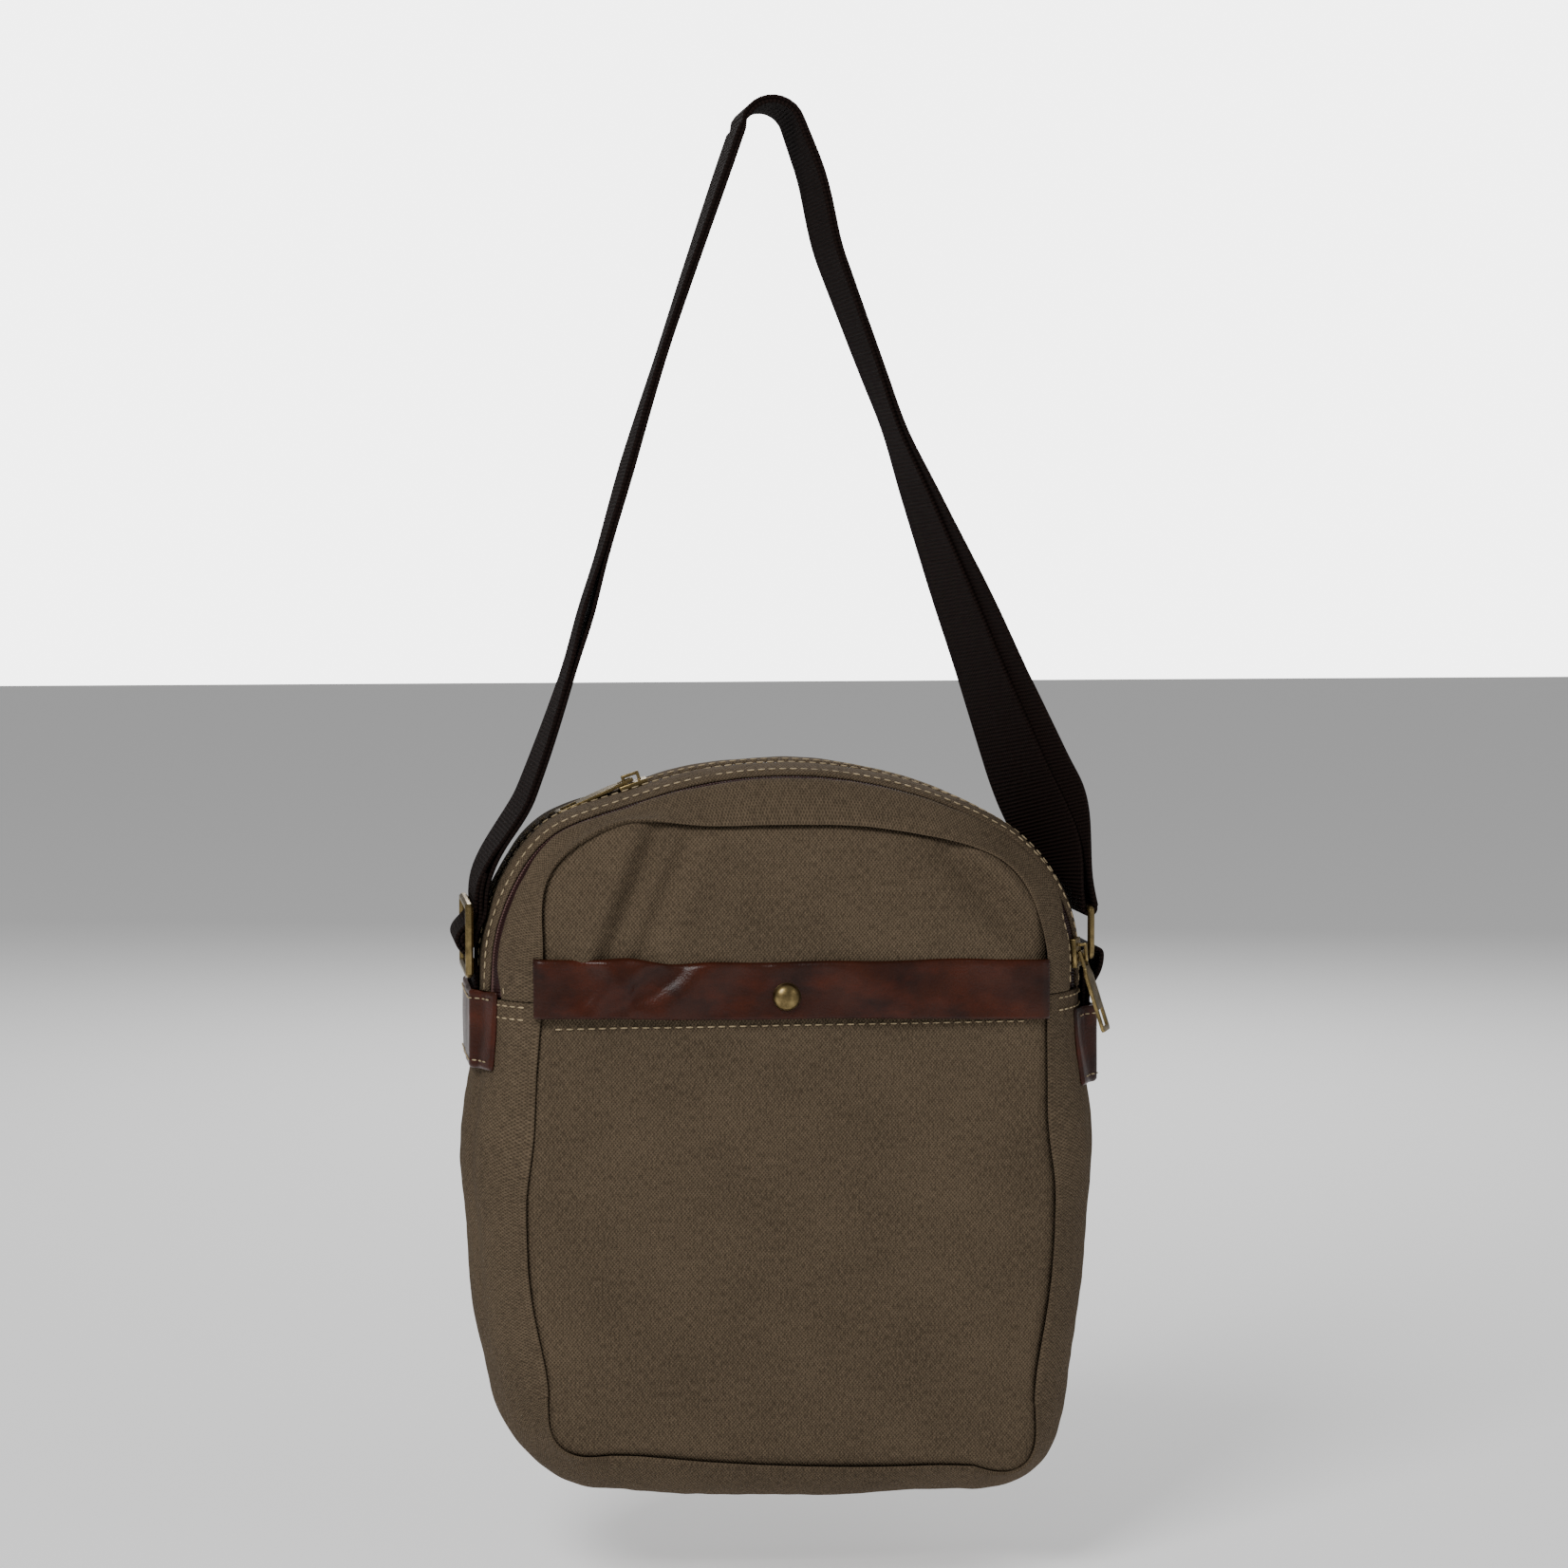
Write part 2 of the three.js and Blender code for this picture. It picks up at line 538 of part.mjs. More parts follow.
// ---- leather tabs: open at the top, wrapped over the webbing ----
function tabGeometry(sign, dropTop, layers) {
  const inner = side + GAP + layers * (WEBBING + GAP);
  const half = TAB_WIDTH / 2;
  const room = WEBBING_WIDTH / 2 + TAB_ROOM;
  const edge = (dy) => side + GAP - insetAt(STRAP_Y + dy);
  const skirt = TAB_LEATHER * 0.5;
  const points = [
    [edge(-half), -half], [inner, -room], [inner, room], [edge(half), half],
    [edge(half) + TAB_LEATHER, half + skirt * 0.2], [inner + TAB_LEATHER, room + skirt],
    [inner + TAB_LEATHER, -room - skirt], [edge(-half) + TAB_LEATHER, -half - skirt * 0.2],
  ];
  const strip = new THREE.Shape(points.map(([x, dy]) => v2(sign * x, STRAP_Y + dy)));
  const geometry = new THREE.ExtrudeGeometry(strip, { depth: TAB_HEIGHT, bevelEnabled: false });
  return geometry.translate(0, 0, BAG_HEIGHT - dropTop - TAB_HEIGHT);
}

add('left_leather_tab', tabGeometry(-1, LEFT_TAB_DROP, 1), leather);
add('right_leather_tab', tabGeometry(1, RIGHT_TAB_DROP, 2), leather);

// ---- ring and slider: flat frames of rounded wire, in the plane x = 0 ----
const frameInside = WEBBING_WIDTH + 2 * FRAME_SIDE_CLEARANCE;

function wireFrame(height, wire, middleBar) {
  const halfWide = frameInside / 2 + wire;
  const halfTall = height / 2;
  const corner = wire * 0.9;
  const bevel = wire * 0.28;
  const box = (ShapeType, w, h, r, centre) => {
    const shape = new ShapeType();
    shape.moveTo(-w + r, centre - h);
    shape.lineTo(w - r, centre - h);
    shape.quadraticCurveTo(w, centre - h, w, centre - h + r);
    shape.lineTo(w, centre + h - r);
    shape.quadraticCurveTo(w, centre + h, w - r, centre + h);
    shape.lineTo(-w + r, centre + h);
    shape.quadraticCurveTo(-w, centre + h, -w, centre + h - r);
    shape.lineTo(-w, centre - h + r);
    shape.quadraticCurveTo(-w, centre - h, -w + r, centre - h);
    return shape;
  };
  const outline = box(THREE.Shape, halfWide - bevel, halfTall - bevel, corner, 0);
  const inside = halfTall - wire;
  const slots = middleBar
    ? [-1, 1].map((sign) => [sign * (inside + wire / 2) / 2, (inside - wire / 2) / 2])
    : [[0, inside]];
  for (const [centre, h] of slots) {
    outline.holes.push(box(THREE.Path, frameInside / 2 + bevel, h + bevel, 0.6, centre));
  }
  const flat = new THREE.ExtrudeGeometry(outline, {
    depth: wire - 2 * bevel, bevelThickness: bevel, bevelSize: bevel, bevelSegments: 1, curveSegments: 3,
  });
  const turn = new THREE.Matrix4().makeBasis(
    new THREE.Vector3(0, 1, 0), new THREE.Vector3(0, 0, 1), new THREE.Vector3(1, 0, 0));
  return flat.translate(0, 0, bevel - wire / 2).applyMatrix4(turn);
}

const layer = WEBBING + GAP; // from the middle of one layer of webbing to the next
const firstLayer = side + GAP + WEBBING / 2;
const ringX = side + GAP + WEBBING + GAP + RING_WIRE / 2;
const ringZ = BAG_HEIGHT - RING_DROP - RING_HEIGHT / 2;
const ringBarUp = (RING_HEIGHT - RING_WIRE) / 2;
const sliderX = firstLayer + WEBBING / 2 + GAP + SLIDER_FRAME_WIRE / 2;
const sliderZ = BAG_HEIGHT - SLIDER_FRAME_DROP - SLIDER_FRAME_HEIGHT / 2;

add('strap_ring', wireFrame(RING_HEIGHT, RING_WIRE, false), brass).position.set(ringX, STRAP_Y, ringZ);
add('strap_slider', wireFrame(SLIDER_FRAME_HEIGHT, SLIDER_FRAME_WIRE, true), brass)
  .position.set(-sliderX, STRAP_Y, sliderZ);

// ---- webbing: a flat ribbon through stations ----
// A station is a point, the direction (dx, dz) in which the ribbon runs, its half width and
// how far it is turned about its run.
function ribbon(stations) {
  const last = stations.length - 1;
  return bentBox(last, 1, (u, v, w) => {
    const { x, y, z, dx, dz, half, twist } = stations[Math.round(u * last)];
    const back = new THREE.Vector3(0, 1, 0);
    const out = new THREE.Vector3(-dz, 0, dx);
    const across = back.clone().multiplyScalar(Math.cos(twist)).addScaledVector(out, Math.sin(twist));
    const face = out.clone().multiplyScalar(Math.cos(twist)).addScaledVector(back, -Math.sin(twist));
    return new THREE.Vector3(x, y, z)
      .addScaledVector(across, lerp(-half, half, v))
      .addScaledVector(face, (0.5 - w) * WEBBING);
  });
}

const halfWebbing = WEBBING_WIDTH / 2;
const noShift = () => 0;

// Stations along a path in X and Z. shift moves them off the path, to its outer side, and
// twist turns the ribbon about the path; both take the share of the path run so far.
function along(path, count, shift = noShift, twist = noShift) {
  const stations = [];
  for (let i = 0; i <= count; i += 1) {
    const u = i / count;
    const point = path.getPoint(u);
    const t = path.getTangent(u);
    const turn = twist(u);
    const out = shift(u) * Math.cos(turn);
    stations.push({
      x: point.x - t.y * out, y: STRAP_Y - shift(u) * Math.sin(turn), z: point.y + t.x * out,
      dx: t.x, dz: t.y, half: halfWebbing, twist: turn,
    });
  }
  return stations;
}

// The same ribbon run the other way.
function backwards(stations) {
  return stations.map((s) => ({ ...s, dx: -s.dx, dz: -s.dz, twist: -s.twist })).reverse();
}

// A clockwise turn round a bar.
function roundBar(x, z, radius, from, to, count) {
  return along(arcAt(x, z, radius, from, to), count);
}

function curveThrough(...parts) {
  const path = new THREE.CurvePath();
  parts.forEach((part) => path.add(part));
  return path;
}

const line = (a, b) => new THREE.LineCurve(a, b);

// The rounded end of the webbing inside a tab, from its tip up to the swing line.
function tongue(x) {
  const stations = [];
  for (let i = 1; i <= 5; i += 1) {
    const a = (i / 5) * Math.PI / 2;
    stations.push({
      x, y: STRAP_Y, z: swingZ - TONGUE_END * Math.cos(a), dx: 0, dz: 1,
      half: halfWebbing * Math.sin(a), twist: 0,
    });
  }
  return stations;
}

// Middle line between the two layers, from the slider up over the hook to the ring.
const hook = v2(HOOK_X, hangZ - HOOK_RADIUS);
const overHook = HOOK_RADIUS + WEBBING + GAP / 2;

function tangentFrom(start, turnSign) {
  const reach = hook.clone().sub(start);
  const turn = Math.asin(overHook / reach.length());
  const straight = reach.length() * Math.cos(turn);
  const direction = reach.normalize().rotateAround(v2(0, 0), turnSign * turn);
  return { direction, point: start.clone().addScaledVector(direction, straight) };
}

const legX = -(side - LEG_INSET + GAP + 1.5 * WEBBING);
const legFoot = v2(legX, sliderZ + SLIDER_FRAME_HEIGHT / 2 - 2);
const legKnee = v2(legX, legFoot.y + 7);
const leftRun = tangentFrom(legKnee, 1);
const ringBar = v2(ringX, ringZ + ringBarUp);
const rightRun = tangentFrom(ringBar, -1);
const kneeEnd = legKnee.clone().addScaledVector(leftRun.direction, 5);
const middleLine = curveThrough(
  new THREE.QuadraticBezierCurve(legFoot, legKnee, kneeEnd),
  line(kneeEnd, leftRun.point),
  arcAt(hook.x, hook.y, overHook, leftRun.point.clone().sub(hook).angle(),
    rightRun.point.clone().sub(hook).angle()),
  line(rightRun.point, ringBar),
);
const middleLength = middleLine.getLength();
const ringWrap = RING_WIRE / 2 + GAP + WEBBING / 2;
const sliderWrap = SLIDER_FRAME_WIRE / 2 + GAP + WEBBING / 2;

function layerShift(u) {
  const fromSlider = 1 - smooth(u * middleLength, 4, SPREAD);
  const fromRing = 1 - smooth((1 - u) * middleLength, 2, SPREAD);
  return layer / 2 + (layer / 2) * fromSlider + (ringWrap - layer / 2) * fromRing;
}

// The doubled strap turns between its fittings and the hook, where it lies flat.
function strapTwist(u) {
  const run = u * middleLength;
  const rest = middleLength - run;
  const half = middleLength / 2;
  const turn = (from, degrees) => rad(degrees)
    * smooth(from, 20, 90) * (1 - smooth(from, half - 110, half - 25));
  return run < half ? turn(run, LEFT_TWIST) : turn(rest, RIGHT_TWIST);
}

// The first layer weaves from the tab through the slider: inside the lower bar, outside the
// middle bar and inside the upper bar.
class Weave extends THREE.Curve {
  getPoint(t) {
    const z = lerp(swingZ, legFoot.y, t);
    const away = Math.min(Math.abs(z - sliderZ) / (SLIDER_FRAME_HEIGHT / 2 - SLIDER_FRAME_WIRE), 1);
    const bulge = sliderX + sliderWrap + layer - firstLayer;
    return v2(-firstLayer - bulge * 0.5 * (1 + Math.cos(Math.PI * away)), z);
  }
}

const WEAVE_STEPS = 26;
const LEG_STEPS = 64;
const outerLayer = along(middleLine, LEG_STEPS, layerShift, strapTwist);
const innerLayer = backwards(along(middleLine, LEG_STEPS, (u) => -layerShift(u), strapTwist));
const legAngle = Math.atan2(rightRun.direction.x, rightRun.direction.y);

// The end of the second layer goes round the slider's middle bar and is sewn to itself.
const foldIn = v2(-sliderX + sliderWrap, sliderZ);
const innerFoot = v2(legX + layer, legFoot.y);
const foldEnd = rad(-FOLD_TURN);
const foldOut = v2(-sliderX + sliderWrap * Math.cos(foldEnd), sliderZ + sliderWrap * Math.sin(foldEnd));
const sewnEnd = curveThrough(
  new THREE.CubicBezierCurve(foldOut, v2(foldOut.x + 3, foldOut.y + 1.7),
    v2(legX, sliderZ + 6.5), v2(legX, sliderZ + 9)),
  line(v2(legX, sliderZ + 9), legFoot),
);

add('strap_webbing', ribbon([
  ...tongue(-firstLayer),
  ...along(new Weave(), WEAVE_STEPS).slice(1),
  ...outerLayer.slice(1),
  ...roundBar(ringX, ringBar.y, ringWrap, -legAngle, -legAngle - Math.PI, 10).slice(1),
  ...innerLayer.slice(1),
  ...along(new THREE.CubicBezierCurve(
    innerFoot, v2(innerFoot.x, sliderZ + 6), v2(foldIn.x, sliderZ + 5), foldIn), 6).slice(1),
  ...roundBar(-sliderX, sliderZ, sliderWrap, 0, foldEnd, 12).slice(1),
  ...along(sewnEnd, 8).slice(1),
  ...along(middleLine, LEG_STEPS).filter((s, i) => i > 0 && i / LEG_STEPS * middleLength < FOLD_BACK),
]), webbing);

// ---- webbing loop that holds the ring in the right tab ----
const ringLow = v2(ringX, ringZ - ringBarUp);
const loopFoot = BAG_HEIGHT - RIGHT_TAB_DROP + 2;
const loopOut = ringX + ringWrap + LOOP_ROOM;
const loopTop = v2(ringX + LOOP_ROOM / 2, ringLow.y + ringWrap + 0.3);
add('right_webbing_loop', ribbon([
  ...tongue(firstLayer),
  ...along(line(v2(firstLayer, swingZ), v2(firstLayer, ringLow.y)), 4).slice(1),
  ...along(curveThrough(
    new THREE.CubicBezierCurve(v2(firstLayer, ringLow.y), v2(firstLayer, loopTop.y - 0.6),
      v2(firstLayer + 1, loopTop.y), loopTop),
    new THREE.CubicBezierCurve(loopTop, v2(loopOut - 1, loopTop.y),
      v2(loopOut, loopTop.y - 0.6), v2(loopOut, ringLow.y))), 12).slice(1),
  ...along(new THREE.CubicBezierCurve(
    v2(loopOut, ringLow.y), v2(loopOut, lerp(ringLow.y, loopFoot, 0.5)),
    v2(firstLayer + layer, lerp(loopFoot, ringLow.y, 0.4)), v2(firstLayer + layer, loopFoot)), 8).slice(1),
  ...along(line(v2(firstLayer + layer, loopFoot), v2(firstLayer + layer, swingZ)), 1).slice(1),
  ...backwards(tongue(firstLayer + layer)).slice(1),
]), webbing);

export default model;
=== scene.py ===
"""Looks of a canvas messenger bag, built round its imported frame. The front faces -Y and +Z is up."""

import math

import bpy
import numpy as np
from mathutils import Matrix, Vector


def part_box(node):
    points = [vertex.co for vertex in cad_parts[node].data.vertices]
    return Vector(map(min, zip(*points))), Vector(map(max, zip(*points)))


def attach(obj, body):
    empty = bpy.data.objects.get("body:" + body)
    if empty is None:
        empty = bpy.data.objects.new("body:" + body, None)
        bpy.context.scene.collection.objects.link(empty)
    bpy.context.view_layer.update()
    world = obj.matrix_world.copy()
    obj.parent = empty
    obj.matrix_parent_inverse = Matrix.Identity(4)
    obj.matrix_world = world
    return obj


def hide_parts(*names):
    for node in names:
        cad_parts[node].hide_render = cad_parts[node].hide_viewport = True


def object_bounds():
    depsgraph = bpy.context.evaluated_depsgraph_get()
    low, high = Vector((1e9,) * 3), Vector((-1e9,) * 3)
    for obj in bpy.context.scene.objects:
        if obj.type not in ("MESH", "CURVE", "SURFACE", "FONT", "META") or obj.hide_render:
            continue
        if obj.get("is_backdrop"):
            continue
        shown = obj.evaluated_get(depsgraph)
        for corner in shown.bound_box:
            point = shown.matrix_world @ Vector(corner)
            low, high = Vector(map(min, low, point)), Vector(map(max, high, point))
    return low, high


bl_info = {
    "name": "Canvas messenger bag",
    "version": (1, 0, 0),
    "blender": (4, 5, 0),
    "location": "3D View > Sidebar > Bag",
    "description": "Builds a canvas messenger bag with leather trim round its packed frame",
    "category": "Add Mesh",
}

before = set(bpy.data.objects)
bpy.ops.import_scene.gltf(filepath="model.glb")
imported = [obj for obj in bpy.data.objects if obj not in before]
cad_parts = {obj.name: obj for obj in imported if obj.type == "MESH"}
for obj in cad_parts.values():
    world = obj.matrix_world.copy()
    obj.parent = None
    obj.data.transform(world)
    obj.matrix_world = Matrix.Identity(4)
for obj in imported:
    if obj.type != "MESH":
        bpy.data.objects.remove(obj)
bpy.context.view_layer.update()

# Sizes are in millimetres with z = 0 at the bottom of the bag and x = 0 in its middle,
# as the frame was drawn. The gusset's box gives where that is in the frame.
MM = 0.001
FRONT_Y = -38.0
REAR_Y = 36.0
GUSSET_LOW, GUSSET_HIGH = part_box("lower_gusset")
ORIGIN = np.array([
    (GUSSET_LOW.x + GUSSET_HIGH.x) / 2 / MM,
    GUSSET_LOW.y / MM - FRONT_Y,
    GUSSET_LOW.z / MM,
])

GAP = 0.35
HEIGHT = 279.0
SIDE = 114.0
SHOULDER_R = 62.0
SHOULDER_Z = HEIGHT - 76.0
SHOULDER_X = SIDE - SHOULDER_R
LEFT_RISE = 0.6
TOP_RISE = 13.7
JOIN_Z = HEIGHT - 85.5
SIDE_FOOT_Z = HEIGHT - 124.0
BELLY_Z = HEIGHT - 166.0
BELLY = 117.5
BASE = 108.0
CORNER = 40.0
SAG = 3.0
WALL = 1.5
STRAP_Y = 8.0
FRONT_INSET = 17.5
REAR_INSET = 9.0
FRONT_ZIP_Y = -21.0
MAIN_ZIP_Y = 1.5
HALF_OPENING = 4.5
STITCH_EDGE = 2.2  # from the edge of a zip's opening to its stitches
PINCH = 2.0  # how far each edge of an opening moves in where the zip closes up
TAPE_HIDDEN = 3.5
COIL_PITCH = 1.15
TAPE = 0.6
BACK_ZIP_Z = HEIGHT - 73.0
BACK_ZIP_HALF = 103.6
POCKET_TOP = HEIGHT - 72.5
BAND_HEIGHT = 21.5
SNAP_X = -3.0
SNAP_Z = POCKET_TOP - 12.0
WEBBING_HALF = 19.0
TAB_HALF = 27.0
TAB_FRONT = 33.0
TAB_HEIGHT = 29.0
LEFT_TAB_TOP = HEIGHT - 83
RIGHT_TAB_TOP = HEIGHT - 93
TAB_SEAM = 3.0  # from a tab's edges to its stitches
WEBBING = 1.5
LAYER = WEBBING + GAP
FIRST_LAYER = SIDE + GAP + WEBBING / 2
SWING_Z = HEIGHT - 97.5
RING_WIRE_R = 1.25
RING_X = SIDE + GAP + WEBBING + GAP + RING_WIRE_R
RING_Z = HEIGHT - 55.25 - 10.25
RING_UP = 9.0
RING_WRAP = RING_WIRE_R + GAP + WEBBING / 2
SLIDER_WIRE_R = 1.5
SLIDER_X = FIRST_LAYER + WEBBING / 2 + GAP + SLIDER_WIRE_R
SLIDER_Z = HEIGHT - 51 - 14
SLIDER_WRAP = SLIDER_WIRE_R + GAP + WEBBING / 2
HOOK_R = 9
HOOK = np.array([-4.0, HEIGHT + 244 - HOOK_R])
OVER_HOOK = HOOK_R + WEBBING + GAP / 2


# ---- curves in X and Z ----
def line(a, b, count=60):
    """Straight from a to b."""
    t = np.linspace(0, 1, count)[:, None]
    return np.asarray(a, float) * (1 - t) + np.asarray(b, float) * t


def arc(centre, radius, start, end, count=200):
    """Round a centre from one angle to another, in radians."""
    a = np.linspace(start, end, count)
    return np.stack([centre[0] + radius * np.cos(a), centre[1] + radius * np.sin(a)], -1)


def bezier(a, b, c, d, count=120):
    """A cubic curve from a to d, pulled towards b and c."""
    t = np.linspace(0, 1, count)[:, None]
    a, b, c, d = (np.asarray(p, float) for p in (a, b, c, d))
    return a * (1 - t) ** 3 + 3 * b * t * (1 - t) ** 2 + 3 * c * t * t * (1 - t) + d * t ** 3


def smoothstep(x, low, high):
    """0 below low, 1 above high, an S curve between them."""
    t = np.clip((x - low) / (high - low), 0, 1)
    return t * t * (3 - 2 * t)


def hump(v, middle, width):
    """1 at middle, falling off on either side like a bell."""
    return np.exp(-((v - middle) / width) ** 2)


def xyz(x, y, z):
    """Points from three coordinates of any matching shapes."""
    return np.stack(np.broadcast_arrays(x, y, z), -1)


class Run:
    """A curve in X and Z, read by the share of its length that has been run."""

    def __init__(self, *parts):
        points = np.concatenate(parts)
        step = np.append(1, np.hypot(*np.diff(points, axis=0).T))
        self.points = points[step > 1e-6]
        self.run = np.append(0, np.cumsum(np.hypot(*np.diff(self.points, axis=0).T)))
        self.length = self.run[-1]
        tangent = np.gradient(self.points, self.run, axis=0)
        self.tangent = tangent / np.linalg.norm(tangent, axis=1)[:, None]

    def at(self, u):
        """Point and direction at share u: x, z, tx, tz."""
        s = np.clip(u, 0, 1) * self.length
        columns = (self.points[:, 0], self.points[:, 1], self.tangent[:, 0], self.tangent[:, 1])
        return [np.interp(s, self.run, column) for column in columns]

    def share_at(self, x, z):
        """Share of the run nearest to a point."""
        d = np.hypot(self.points[:, 0] - x, self.points[:, 1] - z)
        return self.run[np.argmin(d)] / self.length


# ---- the bag's widest outline, clockwise from the front ----
def upper_curves():
    """Up the left side, round the shoulder, over the top and down again. The top is an arc that
    meets both shoulder arcs smoothly, and the left shoulder stands a little higher."""
    half_span = math.hypot(SHOULDER_X, LEFT_RISE / 2)
    depth = (half_span ** 2 - TOP_RISE ** 2) / (2 * TOP_RISE)
    lean = math.atan2(LEFT_RISE / 2, SHOULDER_X)
    left = (-SHOULDER_X, SHOULDER_Z + LEFT_RISE)
    right = (SHOULDER_X, SHOULDER_Z)
    centre = (-depth * math.sin(lean), SHOULDER_Z + LEFT_RISE / 2 - depth * math.cos(lean))
    start = math.atan2(left[1] - centre[1], left[0] - centre[0])
    end = math.atan2(right[1] - centre[1], right[0] - centre[0])
    return [
        line((-SIDE, JOIN_Z), (-SIDE, left[1])),
        arc(left, SHOULDER_R, math.pi, start),
        arc(centre, depth + SHOULDER_R + TOP_RISE, start, end, 400),
        arc(right, SHOULDER_R, end, 0),
        line((SIDE, SHOULDER_Z), (SIDE, JOIN_Z)),
    ]


UPPER = Run(*upper_curves())


def side_curves():
    """The right side from the gusset join down to the middle of the bottom."""
    pull = (BELLY_Z - CORNER) / 2
    drop = SIDE_FOOT_Z - BELLY_Z
    return [
        line((SIDE, JOIN_Z), (SIDE, SIDE_FOOT_Z)),
        bezier((SIDE, SIDE_FOOT_Z), (SIDE, SIDE_FOOT_Z - drop * 0.45),
               (BELLY, BELLY_Z + drop * 0.45), (BELLY, BELLY_Z)),
        bezier((BELLY, BELLY_Z), (BELLY, BELLY_Z - pull),
               (BASE + CORNER * 0.08, CORNER + pull * 0.6), (BASE, CORNER)),
        bezier((BASE, CORNER), (BASE - CORNER * 0.12, CORNER * 0.45),
               (BASE - CORNER * 0.5, SAG), (BASE - CORNER, SAG)),
        bezier((BASE - CORNER, SAG), ((BASE - CORNER) * 2 / 3, SAG / 3),
               ((BASE - CORNER) / 3, 0), (0, 0)),
    ]


RIGHT_SIDE = side_curves()
LEFT_SIDE = [curve[::-1] * (-1, 1) for curve in RIGHT_SIDE[::-1]]
LOWER = Run(*RIGHT_SIDE, *LEFT_SIDE)


def forwardness(y):
    """0 from the strap's middle back, rising to 1 at the front seam."""
    return np.clip(STRAP_Y - y, 0, None) / (STRAP_Y - FRONT_Y)


def inset_at(y):
    """How far the wall sits inside the widest outline at depth y: a cubic curve towards the front
    seam and a steeper one towards the rear seam."""
    front = FRONT_INSET * forwardness(y) ** 3
    rear = REAR_INSET * (np.clip(y - STRAP_Y, 0, None) / (REAR_Y - STRAP_Y)) ** 3.5
    return front + rear


def bell(x, z, x0, z0, width):
    """1 at a place, falling off round it like a bell."""
    return np.exp(-((x - x0) ** 2 + (z - z0) ** 2) / width ** 2)


def seam_shift(x, z):
    """How far the front seam runs outside its even inset: out at its four corners, which are
    squarer than the gusset's, and in where it leaves the upper left corner."""
    top = 8 * bell(x, z, -95.8, 249, 22) + 11 * bell(x, z, -68, 265, 24) + 5 * bell(x, z, 84, 256, 30)
    bottom = 7 * bell(x, z, -98, 14, 22) + 8 * bell(x, z, 98, 14, 22)
    return top + bottom - 3 * bell(x, z, -114, 205, 30) - 2.5 * bell(x, z, 0, 280, 34)


def side_fullness(z):
    """The sides swell below the tabs: a bell curve of height, widest at z 143."""
    return 4.8 * hump(z, 143, 25)


def fullness(x, z):
    """How far the filled bag swells past its outline: at both sides, at the left shoulder and at
    the right bottom corner."""
    beside = smoothstep(np.abs(x), 80, 100)
    sides = side_fullness(z) + 1.6 * hump(z, 58, 26)
    return sides * beside + 3.2 * bell(x, z, -86, 252, 20) + 5 * bell(x, z, 98, 14, 24)


def ripple(a, b, wave, seed):
    """Soft unevenness between -1 and 1: seven sines of about one wavelength in mixed directions."""
    rng = np.random.default_rng(seed)
    total = 0
    for _ in range(7):
        turn = rng.uniform(0, math.pi)
        pitch = wave * rng.uniform(0.7, 1.6)
        phase = rng.uniform(0, 2 * math.pi)
        total = total + np.sin((a * math.cos(turn) + b * math.sin(turn)) * 2 * math.pi / pitch + phase)
    return total / 4


def crease(a, b, start, end, width):
    """1 on the line from start to end, falling off over width beside it and past its ends."""
    s, e = np.asarray(start, float), np.asarray(end, float)
    d = e - s
    t = np.clip(((a - s[0]) * d[0] + (b - s[1]) * d[1]) / (d @ d), 0, 1)
    off = np.hypot(a - s[0] - t * d[0], b - s[1] - t * d[1])
    fade = 0.35 + 0.65 * np.sin(math.pi * (0.15 + 0.7 * t))
    return np.exp(-((off / width) ** 2)) * fade


def wall(run, u, y, sunk):
    """A point of the bag's wall: the outline at share u, moved inwards for depth y and by sunk."""
    x, z, tx, tz = run.at(u)
    forward = forwardness(y)
    outwards = seam_shift(x, z) * forward ** 8 + fullness(x, z) * (1 - 0.9 * forward ** 7)
    inset = inset_at(y) - outwards + sunk
    # The bottom has settled towards the right, most at the front: it drops in step with x.
    slump = -x * (0.03 + 0.032 * forward ** 5) * (1 - smoothstep(z, 6, 95))
    return xyz(x + tz * inset, y, z - tx * inset + slump)


def wall_normal(run, u, y, sunk):
    """Outward direction of the wall, across its two tangents."""
    along = wall(run, u + 1e-3, y, sunk) - wall(run, u - 1e-3, y, sunk)
    across = wall(run, u, y + 0.2, sunk) - wall(run, u, y - 0.2, sunk)
    normal = np.cross(across, along)
    return normal / np.linalg.norm(normal, axis=-1, keepdims=True)


# ---- meshes ----
def settings():
    """The user's sizes and colours."""
    return bpy.context.scene.messenger_bag


def mesh_object(name, points, faces, cloth=None, smooth=True):
    """An object at the origin from points in bag millimetres. cloth gives each face corner's place
    on its cloth."""
    mesh = bpy.data.meshes.new(name)
    placed = (np.asarray(points, float).reshape(-1, 3) + ORIGIN) * MM
    mesh.from_pydata(placed.tolist(), [], faces)
    if cloth is not None:
        layer = mesh.uv_layers.new(name="cloth")
        layer.data.foreach_set("uv", (np.asarray(cloth, float) * MM).astype(np.float32).ravel())
    mesh.validate(clean_customdata=False)
    mesh.polygons.foreach_set("use_smooth", [smooth] * len(mesh.polygons))
    mesh.update()
    made = bpy.data.objects.new(name, mesh)
    bpy.context.scene.collection.objects.link(made)
    return made


def grid_faces(rows, columns, loop_rows, loop_columns):
    """Quads of a grid and the grid place of each of their corners."""
    i, j = np.meshgrid(np.arange(rows - (not loop_rows)), np.arange(columns - (not loop_columns)),
                       indexing="ij")
    i, j = i.ravel(), j.ravel()
    corners = [(0, 0), (1, 0), (1, 1), (0, 1)]
    at = np.stack([np.stack([i + a, j + b], -1) for a, b in corners], 1)
    return (at[..., 0] % rows) * columns + at[..., 1] % columns, at


